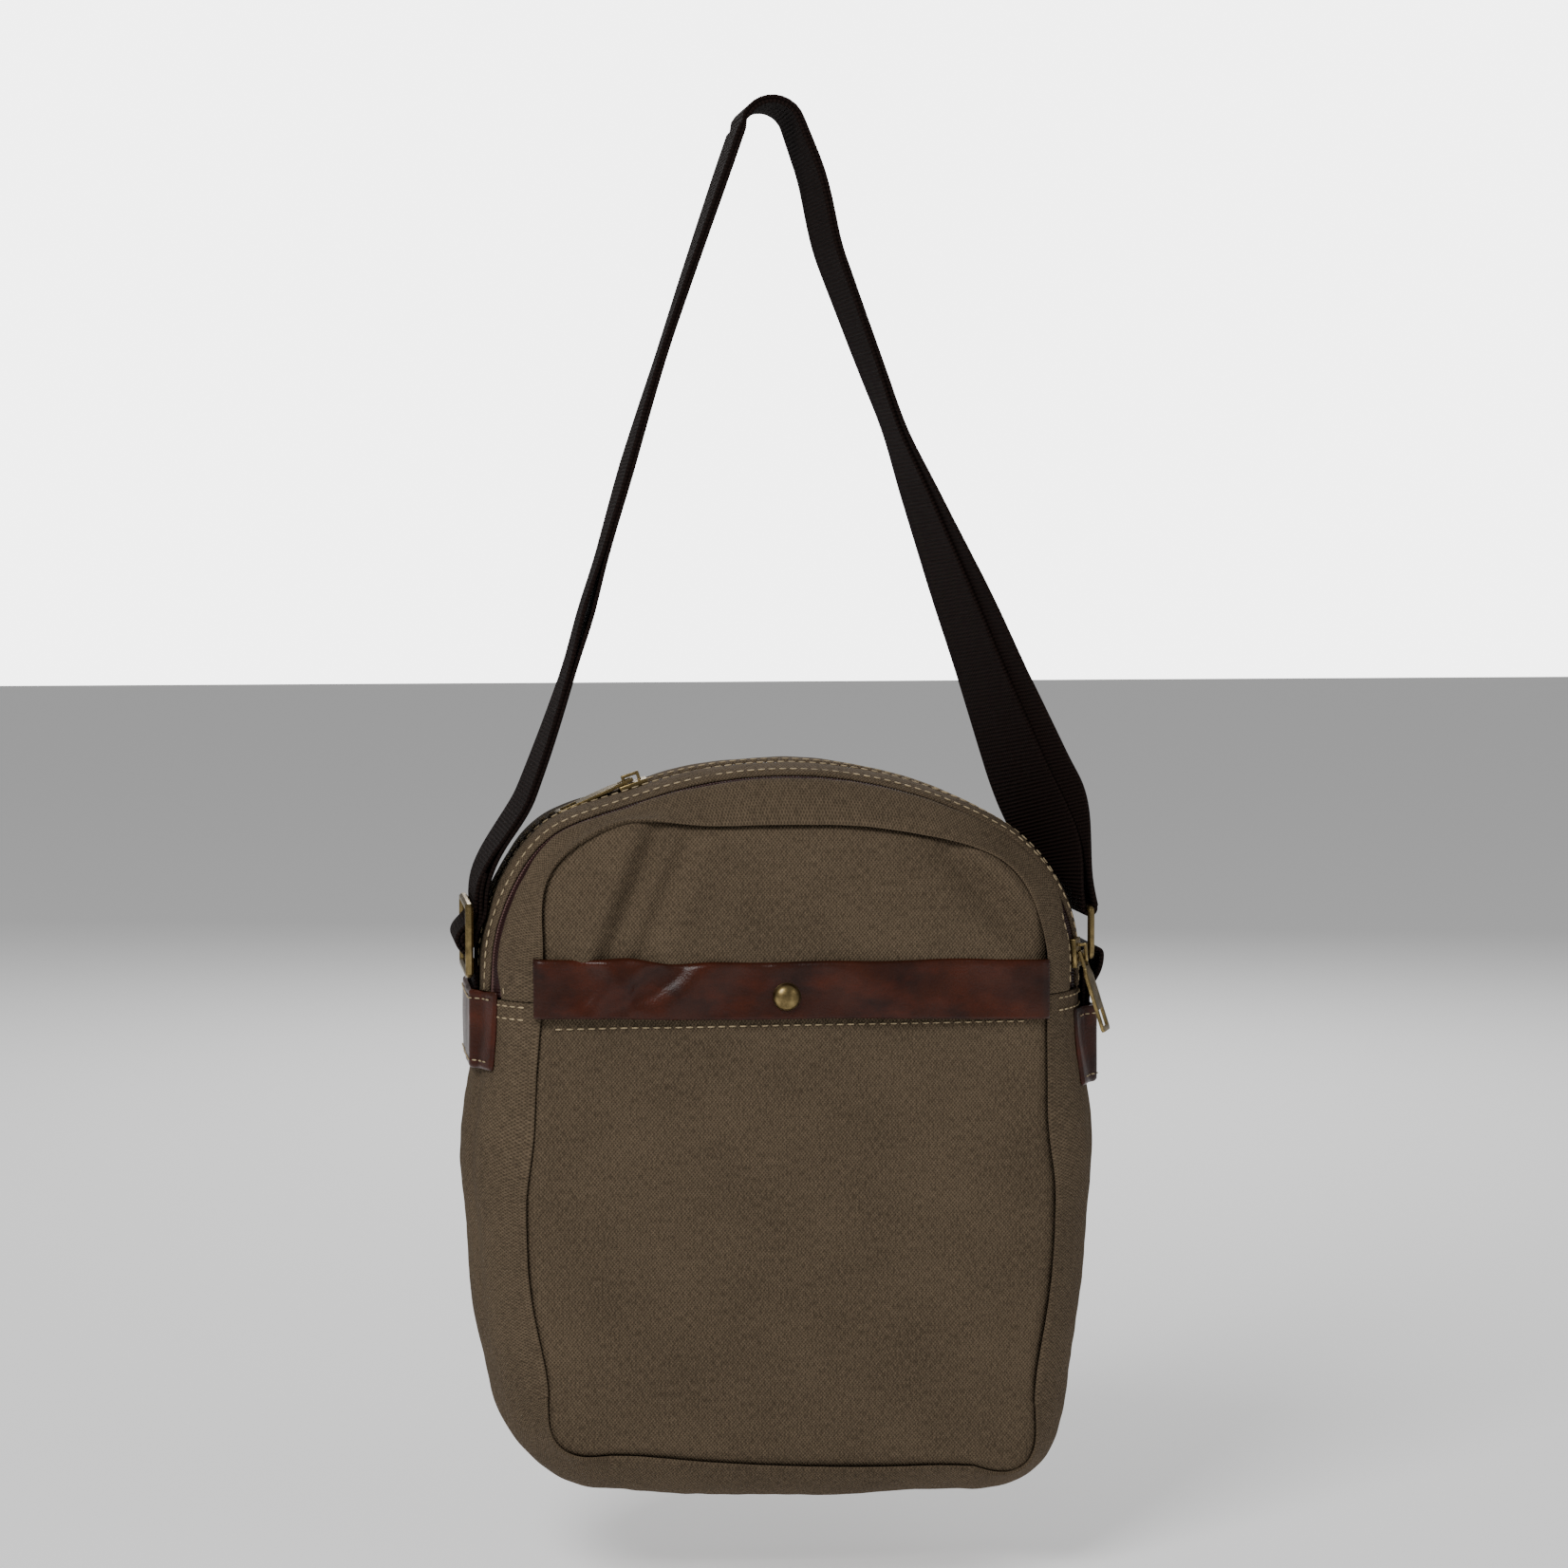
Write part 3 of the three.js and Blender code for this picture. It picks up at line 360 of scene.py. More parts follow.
def tube(name, points, cloth, flip=False):
    """A closed section (columns) carried along a path (rows), with flat ends."""
    rows, columns = points.shape[:2]
    quads, at = grid_faces(rows, columns, False, True)
    uv = cloth[at[..., 0], at[..., 1]]
    first, last = np.arange(columns), (rows - 1) * columns + np.arange(columns)
    if flip:
        quads, uv = quads[:, ::-1], uv[:, ::-1]
        ends = [first[::-1], last]
    else:
        ends = [first, last[::-1]]
    faces = quads.tolist() + [ends[0].tolist(), ends[1].tolist()]
    flat = cloth[:, :columns].reshape(-1, 2)
    corners = np.concatenate([uv.reshape(-1, 2), flat[ends[0]], flat[ends[1]]])
    return mesh_object(name, points, faces, corners)


def lens(name, rings, front, rear, flip=False):
    """Rings round a front middle point, out over the rim and back in to a rear middle point. The
    cloth lies straight behind it."""
    count, around = rings.shape[:2]
    quads, _ = grid_faces(count, around, False, True)
    points = np.concatenate([rings.reshape(-1, 3), [front], [rear]])
    k = np.arange(around)
    after = (k + 1) % around
    last = (count - 1) * around
    front_fan = np.stack([np.full(around, count * around), k, after], -1)
    rear_fan = np.stack([np.full(around, count * around + 1), last + after, last + k], -1)
    if flip:
        quads, front_fan, rear_fan = quads[:, ::-1], front_fan[:, ::-1], rear_fan[:, ::-1]
    faces = quads.tolist() + front_fan.tolist() + rear_fan.tolist()
    order = np.concatenate([quads.ravel(), front_fan.ravel(), rear_fan.ravel()])
    return mesh_object(name, points, faces, points[:, [0, 2]][order])


def finished(made, look, body, nodes):
    """Gives a piece its material and its body, and hides the frame nodes it stands for."""
    made.data.materials.append(look)
    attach(made, body)
    if nodes:
        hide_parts(*nodes)
    return made


def strip_section(y0, y1, thick, rows, round0, round1, crown):
    """Closed section of a folded strip: the outer side crowned, both edges rounded, the inner side
    back. Gives y, depth and how much of the outer side's unevenness each point takes."""
    t = np.linspace(0, 1, rows)
    a = np.linspace(0, math.pi, 9)[1:-1]
    low, high = y0 + round0, y1 - round1
    ys = [low + (high - low) * t, high + round1 * np.sin(a),
          high + (low - high) * t[::4], low - round0 * np.sin(a)]
    depths = [-crown * np.sin(math.pi * t) ** 0.7, thick / 2 * (1 - np.cos(a)),
              np.full(len(t[::4]), thick), thick / 2 * (1 + np.cos(a))]
    takes = [np.ones(rows), np.cos(a / 2) ** 2, np.zeros(len(t[::4])), np.sin(a / 2) ** 2]
    return np.concatenate(ys), np.concatenate(depths), np.concatenate(takes)


def cloth_grid(u_length, y, depth):
    """Place on the cloth: the length run, and the length round the section."""
    step = np.hypot(np.diff(y, append=y[:1]), np.diff(depth, append=depth[:1]))
    across = np.append(0, np.cumsum(step))
    return np.stack(np.broadcast_arrays(u_length[:, None], across[None, :]), -1)


# ---- materials ----
def node(tree, kind, inputs=(), **kept):
    """A node with its settings, each input a constant or another node's socket."""
    made = tree.nodes.new(kind)
    for key, value in kept.items():
        setattr(made, key, value)
    for key, value in dict(inputs).items():
        if isinstance(value, bpy.types.NodeSocket):
            tree.links.new(value, made.inputs[key])
        else:
            made.inputs[key].default_value = value
    return made


def math_node(tree, operation, a, b=0.0):
    return node(tree, "ShaderNodeMath", {0: a, 1: b}, operation=operation).outputs[0]


def add(tree, a, b):
    return math_node(tree, "ADD", a, b)


def times(tree, a, b):
    return math_node(tree, "MULTIPLY", a, b)


def scaled(tree, vector, scale):
    return node(tree, "ShaderNodeVectorMath", {0: vector, 1: scale}, operation="MULTIPLY").outputs[0]


def noise(tree, vector, scale, detail=3.0, rough=0.55):
    return node(tree, "ShaderNodeTexNoise", {
        "Vector": vector, "Scale": scale, "Detail": detail, "Roughness": rough}).outputs["Fac"]


def ramp(tree, value, low, high, to_low=0.0, to_high=1.0):
    return node(tree, "ShaderNodeMapRange", {
        "Value": value, "From Min": low, "From Max": high,
        "To Min": to_low, "To Max": to_high}).outputs["Result"]


def mixed(tree, share, a, b):
    """Colour a turning into colour b."""
    return node(tree, "ShaderNodeMix", {0: share, 6: a, 7: b}, data_type="RGBA").outputs[2]


def bump(tree, shader, strength, distance, height):
    """Lets a height drive the shader's normal."""
    bumped = node(tree, "ShaderNodeBump", {"Strength": strength, "Distance": distance, "Height": height})
    tree.links.new(bumped.outputs[0], shader.inputs["Normal"])


def object_place(tree):
    return node(tree, "ShaderNodeTexCoord").outputs["Object"]


def cloth_map(tree):
    return node(tree, "ShaderNodeUVMap", uv_map="cloth").outputs[0]


def shade(value, factor):
    """A colour made lighter or darker."""
    return (*[min(1.0, channel * factor) for channel in value], 1.0)


def new_material(name):
    """An empty material, its tree and its shader."""
    made = bpy.data.materials.new(name)
    made.use_nodes = True
    return made, made.node_tree, made.node_tree.nodes["Principled BSDF"]


def shared(name, build, *choices):
    """The material of that name, built when it is first asked for."""
    if name not in bpy.data.materials:
        _, tree, shader = new_material(name)
        build(tree, shader, *choices)
    return bpy.data.materials[name]


def brass():
    return shared("antique_brass", antique)


def woven_group(name, pitch, slub):
    """Plain weave: the product of one sine along the cloth and one across it. Slubs are noise
    drawn out along the warp, and blotches are broad noise."""
    tree = bpy.data.node_groups.new(name, "ShaderNodeTree")
    tree.interface.new_socket("Vector", in_out="INPUT", socket_type="NodeSocketVector")
    vector = tree.nodes.new("NodeGroupInput").outputs[0]
    parts = node(tree, "ShaderNodeSeparateXYZ", {0: vector})
    turns = 2 * math.pi / pitch
    shift = times(tree, noise(tree, vector, 160.0, 1.0), 1.4)
    warp = math_node(tree, "SINE", add(tree, times(tree, parts.outputs[0], turns), shift))
    weft = math_node(tree, "SINE", add(tree, times(tree, parts.outputs[1], turns * 0.86), shift))
    weave = times(tree, warp, weft)
    slubs = noise(tree, scaled(tree, vector, slub), 1.0, 3.0, 0.6)
    fine = noise(tree, vector, 1500.0, 2.0, 0.7)
    height = add(tree, times(tree, weave, 0.6),
                 add(tree, times(tree, slubs, 0.5), times(tree, fine, 0.4)))
    results = {"Height": height, "Weave": weave, "Slub": slubs,
               "Blotch": noise(tree, vector, 26.0, 5.0, 0.62), "Fleck": fine}
    for output in results:
        tree.interface.new_socket(output, in_out="OUTPUT", socket_type="NodeSocketFloat")
    node(tree, "NodeGroupOutput", results)
    return tree


def woven(tree, shader, base, pitch, slub, contrast, height, sheen, own_cloth):
    """Woven cloth: base colour varied by slubs, blotches and flecks, with the weave as bump."""
    weave = node(tree, "ShaderNodeGroup", node_tree=woven_group("weave", pitch, slub))
    tree.links.new(cloth_map(tree) if own_cloth else place_in_bag(tree), weave.inputs["Vector"])
    out = weave.outputs
    look = mixed(tree, ramp(tree, out["Blotch"], 0.34, 0.68),
                 shade(base, 1 - 0.5 * contrast), shade(base, 1 + 0.55 * contrast))
    # Each layer: the value, where it starts and ends, how strong it is and how light.
    for value, low, high, most, light in (
            ("Slub", 0.40, 0.66, 0.75, 1.5), ("Slub", 0.46, 0.34, 0.6, -0.9),
            ("Fleck", 0.60, 0.74, 0.45, 2.6), ("Weave", 0.3, -0.7, 0.75, -1.3)):
        look = mixed(tree, ramp(tree, out[value], low, high, 0.0, most), look,
                     shade(base, 1 + light * contrast))
    tree.links.new(look, shader.inputs["Base Color"])
    shader.inputs["Roughness"].default_value = 0.92
    shader.inputs["Specular IOR Level"].default_value = 0.08
    shader.inputs["Sheen Weight"].default_value = sheen
    shader.inputs["Sheen Roughness"].default_value = 0.6
    shader.inputs["Sheen Tint"].default_value = shade(base, 2.2)
    bump(tree, shader, 0.9, height, out["Height"])


def place_in_bag(tree):
    """The place in the bag, laid out so that the cloth turns its corners."""
    parts = node(tree, "ShaderNodeSeparateXYZ", {0: object_place(tree)})
    return node(tree, "ShaderNodeCombineXYZ", {
        "X": add(tree, parts.outputs[0], parts.outputs[1]),
        "Y": parts.outputs[2], "Z": parts.outputs[1]}).outputs[0]


def canvas():
    return shared("washed_canvas", woven, settings().canvas_colour, 0.0013,
                  (1300.0, 430.0, 400.0), 0.44, 0.0003, 0.02, True)


def lining():
    return shared("plain_lining", woven, (0.045, 0.034, 0.025), 0.0006,
                  (1500.0, 300.0, 300.0), 0.15, 0.0001, 0.05, True)


def zip_tape():
    return shared("zip_tape", woven, settings().tape_colour, 0.0007,
                  (1800.0, 500.0, 500.0), 0.3, 0.00012, 0.0, False)


def webbing(tree, shader):
    """Ribbed webbing: ridges across the strap as a sine, packed close, over fine yarns. The colour is
    darker in the grooves between ribs as painted shade and lighter on the ridges as painted highlight.
    """
    base = settings().strap_colour
    place = cloth_map(tree)
    parts = node(tree, "ShaderNodeSeparateXYZ", {0: place})
    wander = times(tree, noise(tree, place, 300.0, 1.0), 1.2)
    ribs = math_node(tree, "SINE", add(
        tree, times(tree, parts.outputs[0], 2 * math.pi / 0.0015), wander))
    yarns = math_node(tree, "SINE", times(tree, parts.outputs[1], 2 * math.pi / 0.0012))
    height = add(tree, ribs, times(tree, yarns, 0.35))
    fibres = noise(tree, scaled(tree, place, (700.0, 2600.0, 1.0)), 1.0, 2.0, 0.6)
    # Painted shade and highlight: colour follows the rib height, dark in the grooves and light on the
    # ridges.
    rib_painted_light = mixed(tree, ramp(tree, height, -1.0, 1.2), shade(base, 0.45), shade(base, 1.3))
    worn = mixed(tree, ramp(tree, fibres, 0.52, 0.75, 0.0, 0.5), rib_painted_light, shade(base, 2.3))
    aged = mixed(tree, ramp(tree, noise(tree, place, 18.0, 4.0), 0.35, 0.7, 0.0, 0.5),
                 worn, shade(base, 0.6))
    tree.links.new(aged, shader.inputs["Base Color"])
    shader.inputs["Roughness"].default_value = 0.85
    shader.inputs["Specular IOR Level"].default_value = 0.08
    bump(tree, shader, 0.8, 0.0003, add(tree, height, times(tree, fibres, 0.6)))


def glazed(tree, shader):
    """Glazed leather: fine pebbled grain, broad dark clouds, lighter reddish streaks painted as
    highlights, and a smoother worn face.
    """
    base = settings().leather_colour
    place = object_place(tree)
    cells = node(tree, "ShaderNodeTexVoronoi", {"Vector": place, "Scale": 1400.0}).outputs["Distance"]
    pores = noise(tree, place, 2600.0, 2.0)
    clouds = noise(tree, place, 42.0, 5.0, 0.6)
    streaks = noise(tree, scaled(tree, place, (60.0, 70.0, 120.0)), 1.0, 3.0)
    dark = mixed(tree, ramp(tree, clouds, 0.36, 0.66), shade(base, 0.42), shade(base, 1.25))
    # Painted highlight: lighter reddish streaks stand in for the shine on the glazed leather.
    streak_painted_highlight = mixed(tree, ramp(tree, streaks, 0.48, 0.72, 0.0, 0.55), dark,
                (min(1, base[0] * 2.0), base[1] * 1.45, base[2] * 1.15, 1))
    grained = mixed(tree, ramp(tree, cells, 0.55, 0.15, 0.0, 0.3), streak_painted_highlight, shade(base, 0.5))
    tree.links.new(grained, shader.inputs["Base Color"])
    tree.links.new(ramp(tree, clouds, 0.3, 0.7, 0.42, 0.27), shader.inputs["Roughness"])
    shader.inputs["Specular IOR Level"].default_value = 0.2
    shader.inputs["Coat Weight"].default_value = 0.08
    shader.inputs["Coat Roughness"].default_value = 0.22
    height = add(tree, add(tree, cells, times(tree, pores, 0.6)), times(tree, streaks, 2.5))
    bump(tree, shader, 0.5, 0.00016, height)


def antique(tree, shader):
    """Antique brass: yellow metal rubbed bright, darker and rougher where it has aged."""
    base = settings().brass_colour
    place = object_place(tree)
    age = noise(tree, place, 260.0, 5.0, 0.65)
    scratch = noise(tree, scaled(tree, place, (400.0, 2600.0, 2600.0)), 1.0, 2.0)
    aged = mixed(tree, ramp(tree, age, 0.38, 0.66), shade(base, 0.5), shade(base, 1.15))
    tree.links.new(aged, shader.inputs["Base Color"])
    tree.links.new(ramp(tree, age, 0.35, 0.7, 0.42, 0.24), shader.inputs["Roughness"])
    shader.inputs["Metallic"].default_value = 1.0
    bump(tree, shader, 0.25, 0.0001, add(tree, age, times(tree, scratch, 0.4)))


def plastic(tree, shader):
    """Dark zip plastic with a little wear."""
    wear = noise(tree, object_place(tree), 320.0, 3.0)
    tree.links.new(mixed(tree, wear, (0.010, 0.003, 0.003, 1), (0.034, 0.010, 0.009, 1)),
                   shader.inputs["Base Color"])
    shader.inputs["Roughness"].default_value = 0.5
    shader.inputs["Specular IOR Level"].default_value = 0.2


def waxed(tree, shader):
    """Waxed thread, lighter and darker along its run, with a twisted ply as bump."""
    base = settings().thread_colour
    place = object_place(tree)
    tone = noise(tree, place, 150.0, 3.0)
    ply = node(tree, "ShaderNodeTexWave", {"Vector": place, "Scale": 700.0, "Distortion": 1.5},
               bands_direction="DIAGONAL").outputs["Fac"]
    tree.links.new(mixed(tree, ramp(tree, tone, 0.3, 0.7), shade(base, 0.6), shade(base, 1.15)),
                   shader.inputs["Base Color"])
    shader.inputs["Roughness"].default_value = 0.75
    bump(tree, shader, 0.4, 0.0001, ply)


# ---- gusset ----
def front_pinch(share):
    """The front zip's edges nearly meet from the left side to where its slider runs."""
    left = 0.6 * smoothstep(share, 0.0, 0.04) + 0.4 * smoothstep(share, 0.15, 0.22)
    return left * (1 - smoothstep(share, 0.87, 0.92))


def main_pinch(share):
    """The main zip's edges close up on both sides of its slider's run."""
    return smoothstep(share, 0.03, 0.08) * (1 - smoothstep(share, 0.26, 0.32)) + smoothstep(
        share, 0.68, 0.74) * (1 - smoothstep(share, 0.92, 0.97))


def open_edge(share):
    """An edge that keeps its place."""
    return 0 * share


def band(name, run, y0, y1, thick, rounds, crown, seed, steps, rows, extra=None,
         edges=(open_edge, open_edge)):
    """A strip of the wall carried along its outline; the outer side is crowned and uneven. Each
    edge moves outwards by its pinch, and the strip between them stretches in proportion."""
    y, depth, take = strip_section(y0, y1, thick, rows, *rounds, crown)
    end = GAP / 2 / run.length
    u = np.linspace(end, 1 - end, steps)
    s = u[:, None] * run.length
    uneven = 0.3 * ripple(s, y[None, :], 34, seed) + 0.14 * ripple(s, y[None, :], 11, seed + 1)
    if extra is not None:
        uneven = uneven + extra(s, y[None, :])
    t = (y[None, :] - y0) / (y1 - y0)
    moved = y[None, :] + PINCH * (edges[1](u)[:, None] * t - edges[0](u)[:, None] * (1 - t))
    points = wall(run, u[:, None], moved, depth[None, :] - take[None, :] * uneven)
    made = tube(name, points, cloth_grid(u * run.length, y, depth))
    return finished(made, canvas(), "bag", [name])


def lower_unevenness(s, y):
    """Soft upright folds in both sides, and both sides standing out a little at the middle of their
    depth.
    """
    right = s / LOWER.length
    depth = settings().fold_depth
    sides = hump(right, 0.12, 0.12) + hump(right, 0.88, 0.12)
    folds = hump(y, -14, 4.5) + 0.7 * hump(y, 16, 5)
    return -depth * sides * folds + 0.5 * sides * hump(y, 1, 6)


def zip_ridge(s, y):
    """The front band stands up along its zip, over the groove."""
    return 1.3 * hump(y, -26.5, 3.2) * front_pinch(s / UPPER.length)


def build_gusset():
    """The three bands over the top, between the zips, and the strip round the sides and bottom."""
    edge = (1.0, 1.0)
    half = HALF_OPENING
    band("front_gusset_band", UPPER, FRONT_Y - 0.2, FRONT_ZIP_Y - half, 1.5, (1.2, 0.8), 0.6, 3,
         420, 25, zip_ridge, (open_edge, front_pinch))
    band("middle_gusset_band", UPPER, FRONT_ZIP_Y + half, MAIN_ZIP_Y - half, 1.5, edge, 0.5, 5,
         420, 25, edges=(front_pinch, main_pinch))
    band("rear_gusset_band", UPPER, MAIN_ZIP_Y + half, REAR_Y + 0.5, 1.6, (0.8, 1.5), 0.6, 7,
         420, 37, edges=(main_pinch, open_edge))
    band("lower_gusset", LOWER, FRONT_Y - 0.2, REAR_Y + 0.5, 1.6, (1.5, 1.5), 0.4, 9,
         620, 89, lower_unevenness)


# ---- panels ----
def rim_points(inset, y):
    """The closed seam line round the whole bag at depth y, moved inwards."""
    sides = [wall(run, np.arange(count) / count, y, inset)[:, [0, 2]]
             for run, count in ((UPPER, 260), (LOWER, 420))]
    return np.concatenate(sides)


def clipped_rim(rim, low, high):
    """The part of the rim between two heights, closed by a straight edge and evenly spaced."""
    inside = (rim[:, 1] >= low) & (rim[:, 1] <= high)
    start = np.argmax(inside & ~np.roll(inside, 1)) if not inside.all() else 0
    order = np.roll(np.arange(len(rim)), -start)
    kept = rim[order][inside[order]]
    closed = np.concatenate([kept, kept[:1]])
    run = np.append(0, np.cumsum(np.hypot(*np.diff(closed, axis=0).T)))
    s = np.arange(640) / 640 * run[-1]
    return np.stack([np.interp(s, run, closed[:, 0]), np.interp(s, run, closed[:, 1])], -1)


def panel(name, rim, middle_z, front_y, thick, look, rear=False):
    """A sheet inside a rim. Rings shrink from the rim to the middle, front_y gives the outer side's
    depth from x, z and the distance to the rim, and the inner side lies thick behind it."""
    share = 1 - (1 - np.linspace(0.02, 1, 84)) ** 1.35
    middle = np.array([0.0, middle_z])
    reach = np.linalg.norm(rim - middle, axis=1)
    outer = middle + share[:, None, None] * (rim - middle)
    away = (1 - share[:, None]) * reach
    y = front_y(outer[..., 0], outer[..., 1], away)
    front = np.stack([outer[..., 0], y, outer[..., 1]], -1)
    sign = -1 if rear else 1
    back_share = share[::-3]
    inner = middle + back_share[:, None, None] * (rim - middle) * 0.997
    back_y = front_y(inner[..., 0], inner[..., 1], (1 - back_share[:, None]) * reach) + sign * thick
    back = np.stack([inner[..., 0], back_y, inner[..., 1]], -1)
    y0 = front_y(middle[0], middle[1], reach.min())
    rings = np.concatenate([front, back])
    made = lens(name, rings, (0.0, y0, middle_z), (0.0, y0 + sign * thick, middle_z), flip=rear)
    return finished(made, look, "bag", [name])


# Folds: how deep each is, where it starts and ends in x and z, and its width.
FRONT_CREASES = [
    (1, (-50, 256), (-70, 206), 4.5), (-0.8, (-58, 256), (-78, 206), 5),
    (0.8, (-39, 252), (-57, 208), 4), (-0.5, (-31, 250), (-48, 210), 6),
    (1.1, (58, 247), (95, 205), 5), (-0.9, (68, 250), (97, 220), 5), (-0.5, (46, 244), (78, 206), 7),
]
POCKET_CREASES = [
    (0.8, (-96, 26), (-74, 16), 4), (0.35, (-60, 178), (-30, 150), 9),
    (-0.3, (40, 175), (80, 120), 12),
]
LEATHER_CREASES = [
    (0.9, (-80, 207), (-76, 190), 4.5), (-1.1, (-70, 207), (-60, 190), 4),
    (1.3, (-42, 207), (-66, 188), 4), (-1.0, (-52, 207), (-76, 187), 5),
    (-0.8, (-30, 207), (-48, 186), 6), (0.8, (56, 207), (82, 186), 7),
    (-0.8, (16, 207), (44, 186), 9), (0.9, (-14, 206), (-26, 188), 5),
]


def creased(x, z, creases):
    """The sum of some folds, each scaled by its depth."""
    return sum(depth * crease(x, z, start, end, width) for depth, start, end, width in creases)


def rolled(away, depth, width):
    """How far a sheet turns back as it nears its seam."""
    return depth * np.clip(1 - away / width, 0, 1) ** 2


def front_panel_y(x, z, away):
    """The upper front: puffed out inside its seam, with soft folds from its corners; it lies back
    behind the pocket."""
    deep = settings().wrinkle_depth
    y = -37.0 + rolled(away, 2.6, 6) - 2.0 * (1 - np.exp(-away / 9))
    y = y + deep * creased(x, z, FRONT_CREASES)
    y = y + 0.35 * ripple(x, z, 42, 21) + 0.12 * ripple(x, z, 12, 22)
    return y + 4.0 * (1 - smoothstep(z, 186, 203))


def pocket_y(x, z, away):
    """The pocket: flat where the leather is sewn on, fuller lower down, puffed inside its seam."""
    deep = settings().wrinkle_depth
    side_away = np.clip(away, 0, None)
    y = -38.2 + rolled(side_away, 2.6, 6) * smoothstep(POCKET_TOP - z, 0.5, 4)
    y = y - 1.9 * (1 - np.exp(-side_away / 12)) * smoothstep(182 - z, 0, 70)
    y = y + deep * creased(x, z, POCKET_CREASES)
    return y + 0.45 * ripple(x, z, 60, 31) + 0.1 * ripple(x, z, 13, 32)


def back_y(x, z, away):
    """The back: nearly flat against the wearer, puffed a little inside its seam."""
    y = 37.4 - rolled(away, 2.6, 4.0) + 0.9 * (1 - np.exp(-away / 14))
    return y + 0.35 * ripple(x, z, 55, 41) + 0.1 * ripple(x, z, 14, 42)


def build_panels():
    """The flat sheets: front, pocket, the back above and below its zip, and those inside."""
    front_rim = rim_points(0.5, FRONT_Y)
    rear_rim = rim_points(0.6, REAR_Y)
    pocket_rim = clipped_rim(front_rim, -10, POCKET_TOP - 0.2)
    lower_rim = clipped_rim(rear_rim, -10, BACK_ZIP_Z - HALF_OPENING)
    upper_rim = clipped_rim(rear_rim, BACK_ZIP_Z + HALF_OPENING, 400)
    panel("front_panel", front_rim, 150, front_panel_y, WALL, canvas())
    panel("front_pocket_panel", pocket_rim, 100, pocket_y, 1.0, canvas())
    panel("back_panel_lower", lower_rim, 100, back_y, WALL, canvas(), rear=True)
    panel("back_panel_upper", upper_rim, 234, back_y, WALL, canvas(), rear=True)
    divider_y = MAIN_ZIP_Y - HALF_OPENING - 3.85 - WALL
    panel("divider_panel", rim_points(2.4, divider_y), 140, lambda x, z, away: divider_y + 0 * away,
          WALL, lining())
    build_pocket_lining()


def build_pocket_lining():
    """The flat inner pocket behind the back zip, a pillow closed all round: its faces come together
    at the rim as a square root of the distance."""
    low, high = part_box("back_pocket_lining")
    x0, y0, z0 = np.array(low) / MM - ORIGIN
    x1, y1, z1 = np.array(high) / MM - ORIGIN
    corners = [(x0, z0), (x0, z1), (x1, z1), (x1, z0), (x0, z0)]
    edge = Run(*[line(a, b, 40) for a, b in zip(corners, corners[1:])])
    rim = np.stack(edge.at(np.arange(240) / 240)[:2], -1)
    middle = np.array([(x0 + x1) / 2, (z0 + z1) / 2])
    middle_y = (y0 + y1) / 2
    share = np.linspace(0.05, 1, 30)
    outer = middle + share[:, None, None] * (rim - middle)
    away = (1 - share[:, None]) * np.linalg.norm(rim - middle, axis=1)
    front = xyz(outer[..., 0], middle_y - (y1 - y0) / 2 * np.clip(away / 6, 0, 1) ** 0.5, outer[..., 1])
    back = front[::-1][1:].copy()
    back[..., 1] = 2 * middle_y - back[..., 1]
    made = lens("back_pocket_lining", np.concatenate([front, back]), (middle[0], y0, middle[1]),
                (middle[0], y1, middle[1]))
    finished(made, lining(), "bag", ["back_pocket_lining"])


# ---- leather ----
def band_wave(x):
    """The mouth of the pocket sags between its ends, most near the left."""
    return (-0.8 * np.sin(math.pi * (x + 93) / 186) + 1.1 * hump(x, -62, 9) - 1.4 * hump(x, -44, 10)
            + 0.8 * hump(x, 55, 22) + 0.4 * np.sin(x / 9.0) * hump(x, 0, 60))


BINDING_FRONT, BINDING_BACK, BINDING_LEAF = -40.9, -37.3, 0.9
BINDING_LOW, BINDING_TOP = POCKET_TOP - BAND_HEIGHT, POCKET_TOP + 0.3


def binding_section():
    """Up the front, over the top and down the back, then the same inside: y and z."""
    middle = (BINDING_FRONT + BINDING_BACK) / 2
    radius = (BINDING_BACK - BINDING_FRONT) / 2
    foot, leaf = BINDING_TOP - radius, BINDING_LEAF
    turn = np.linspace(0, math.pi, 11)[1:-1]
    up = BINDING_LOW + (foot - BINDING_LOW) * np.linspace(0, 1, 22)
    return middle, np.concatenate([
        np.stack([np.full(22, BINDING_FRONT), up], -1),
        np.stack([middle - radius * np.cos(turn), foot + radius * np.sin(turn)], -1),
        np.stack([np.full(8, BINDING_BACK), np.linspace(foot, BINDING_LOW, 8)], -1),
        np.stack([np.full(8, BINDING_BACK - leaf), np.linspace(BINDING_LOW, foot - leaf, 8)], -1),
        np.stack([np.full(8, BINDING_FRONT + leaf), np.linspace(foot - leaf, BINDING_LOW, 8)], -1),
    ])


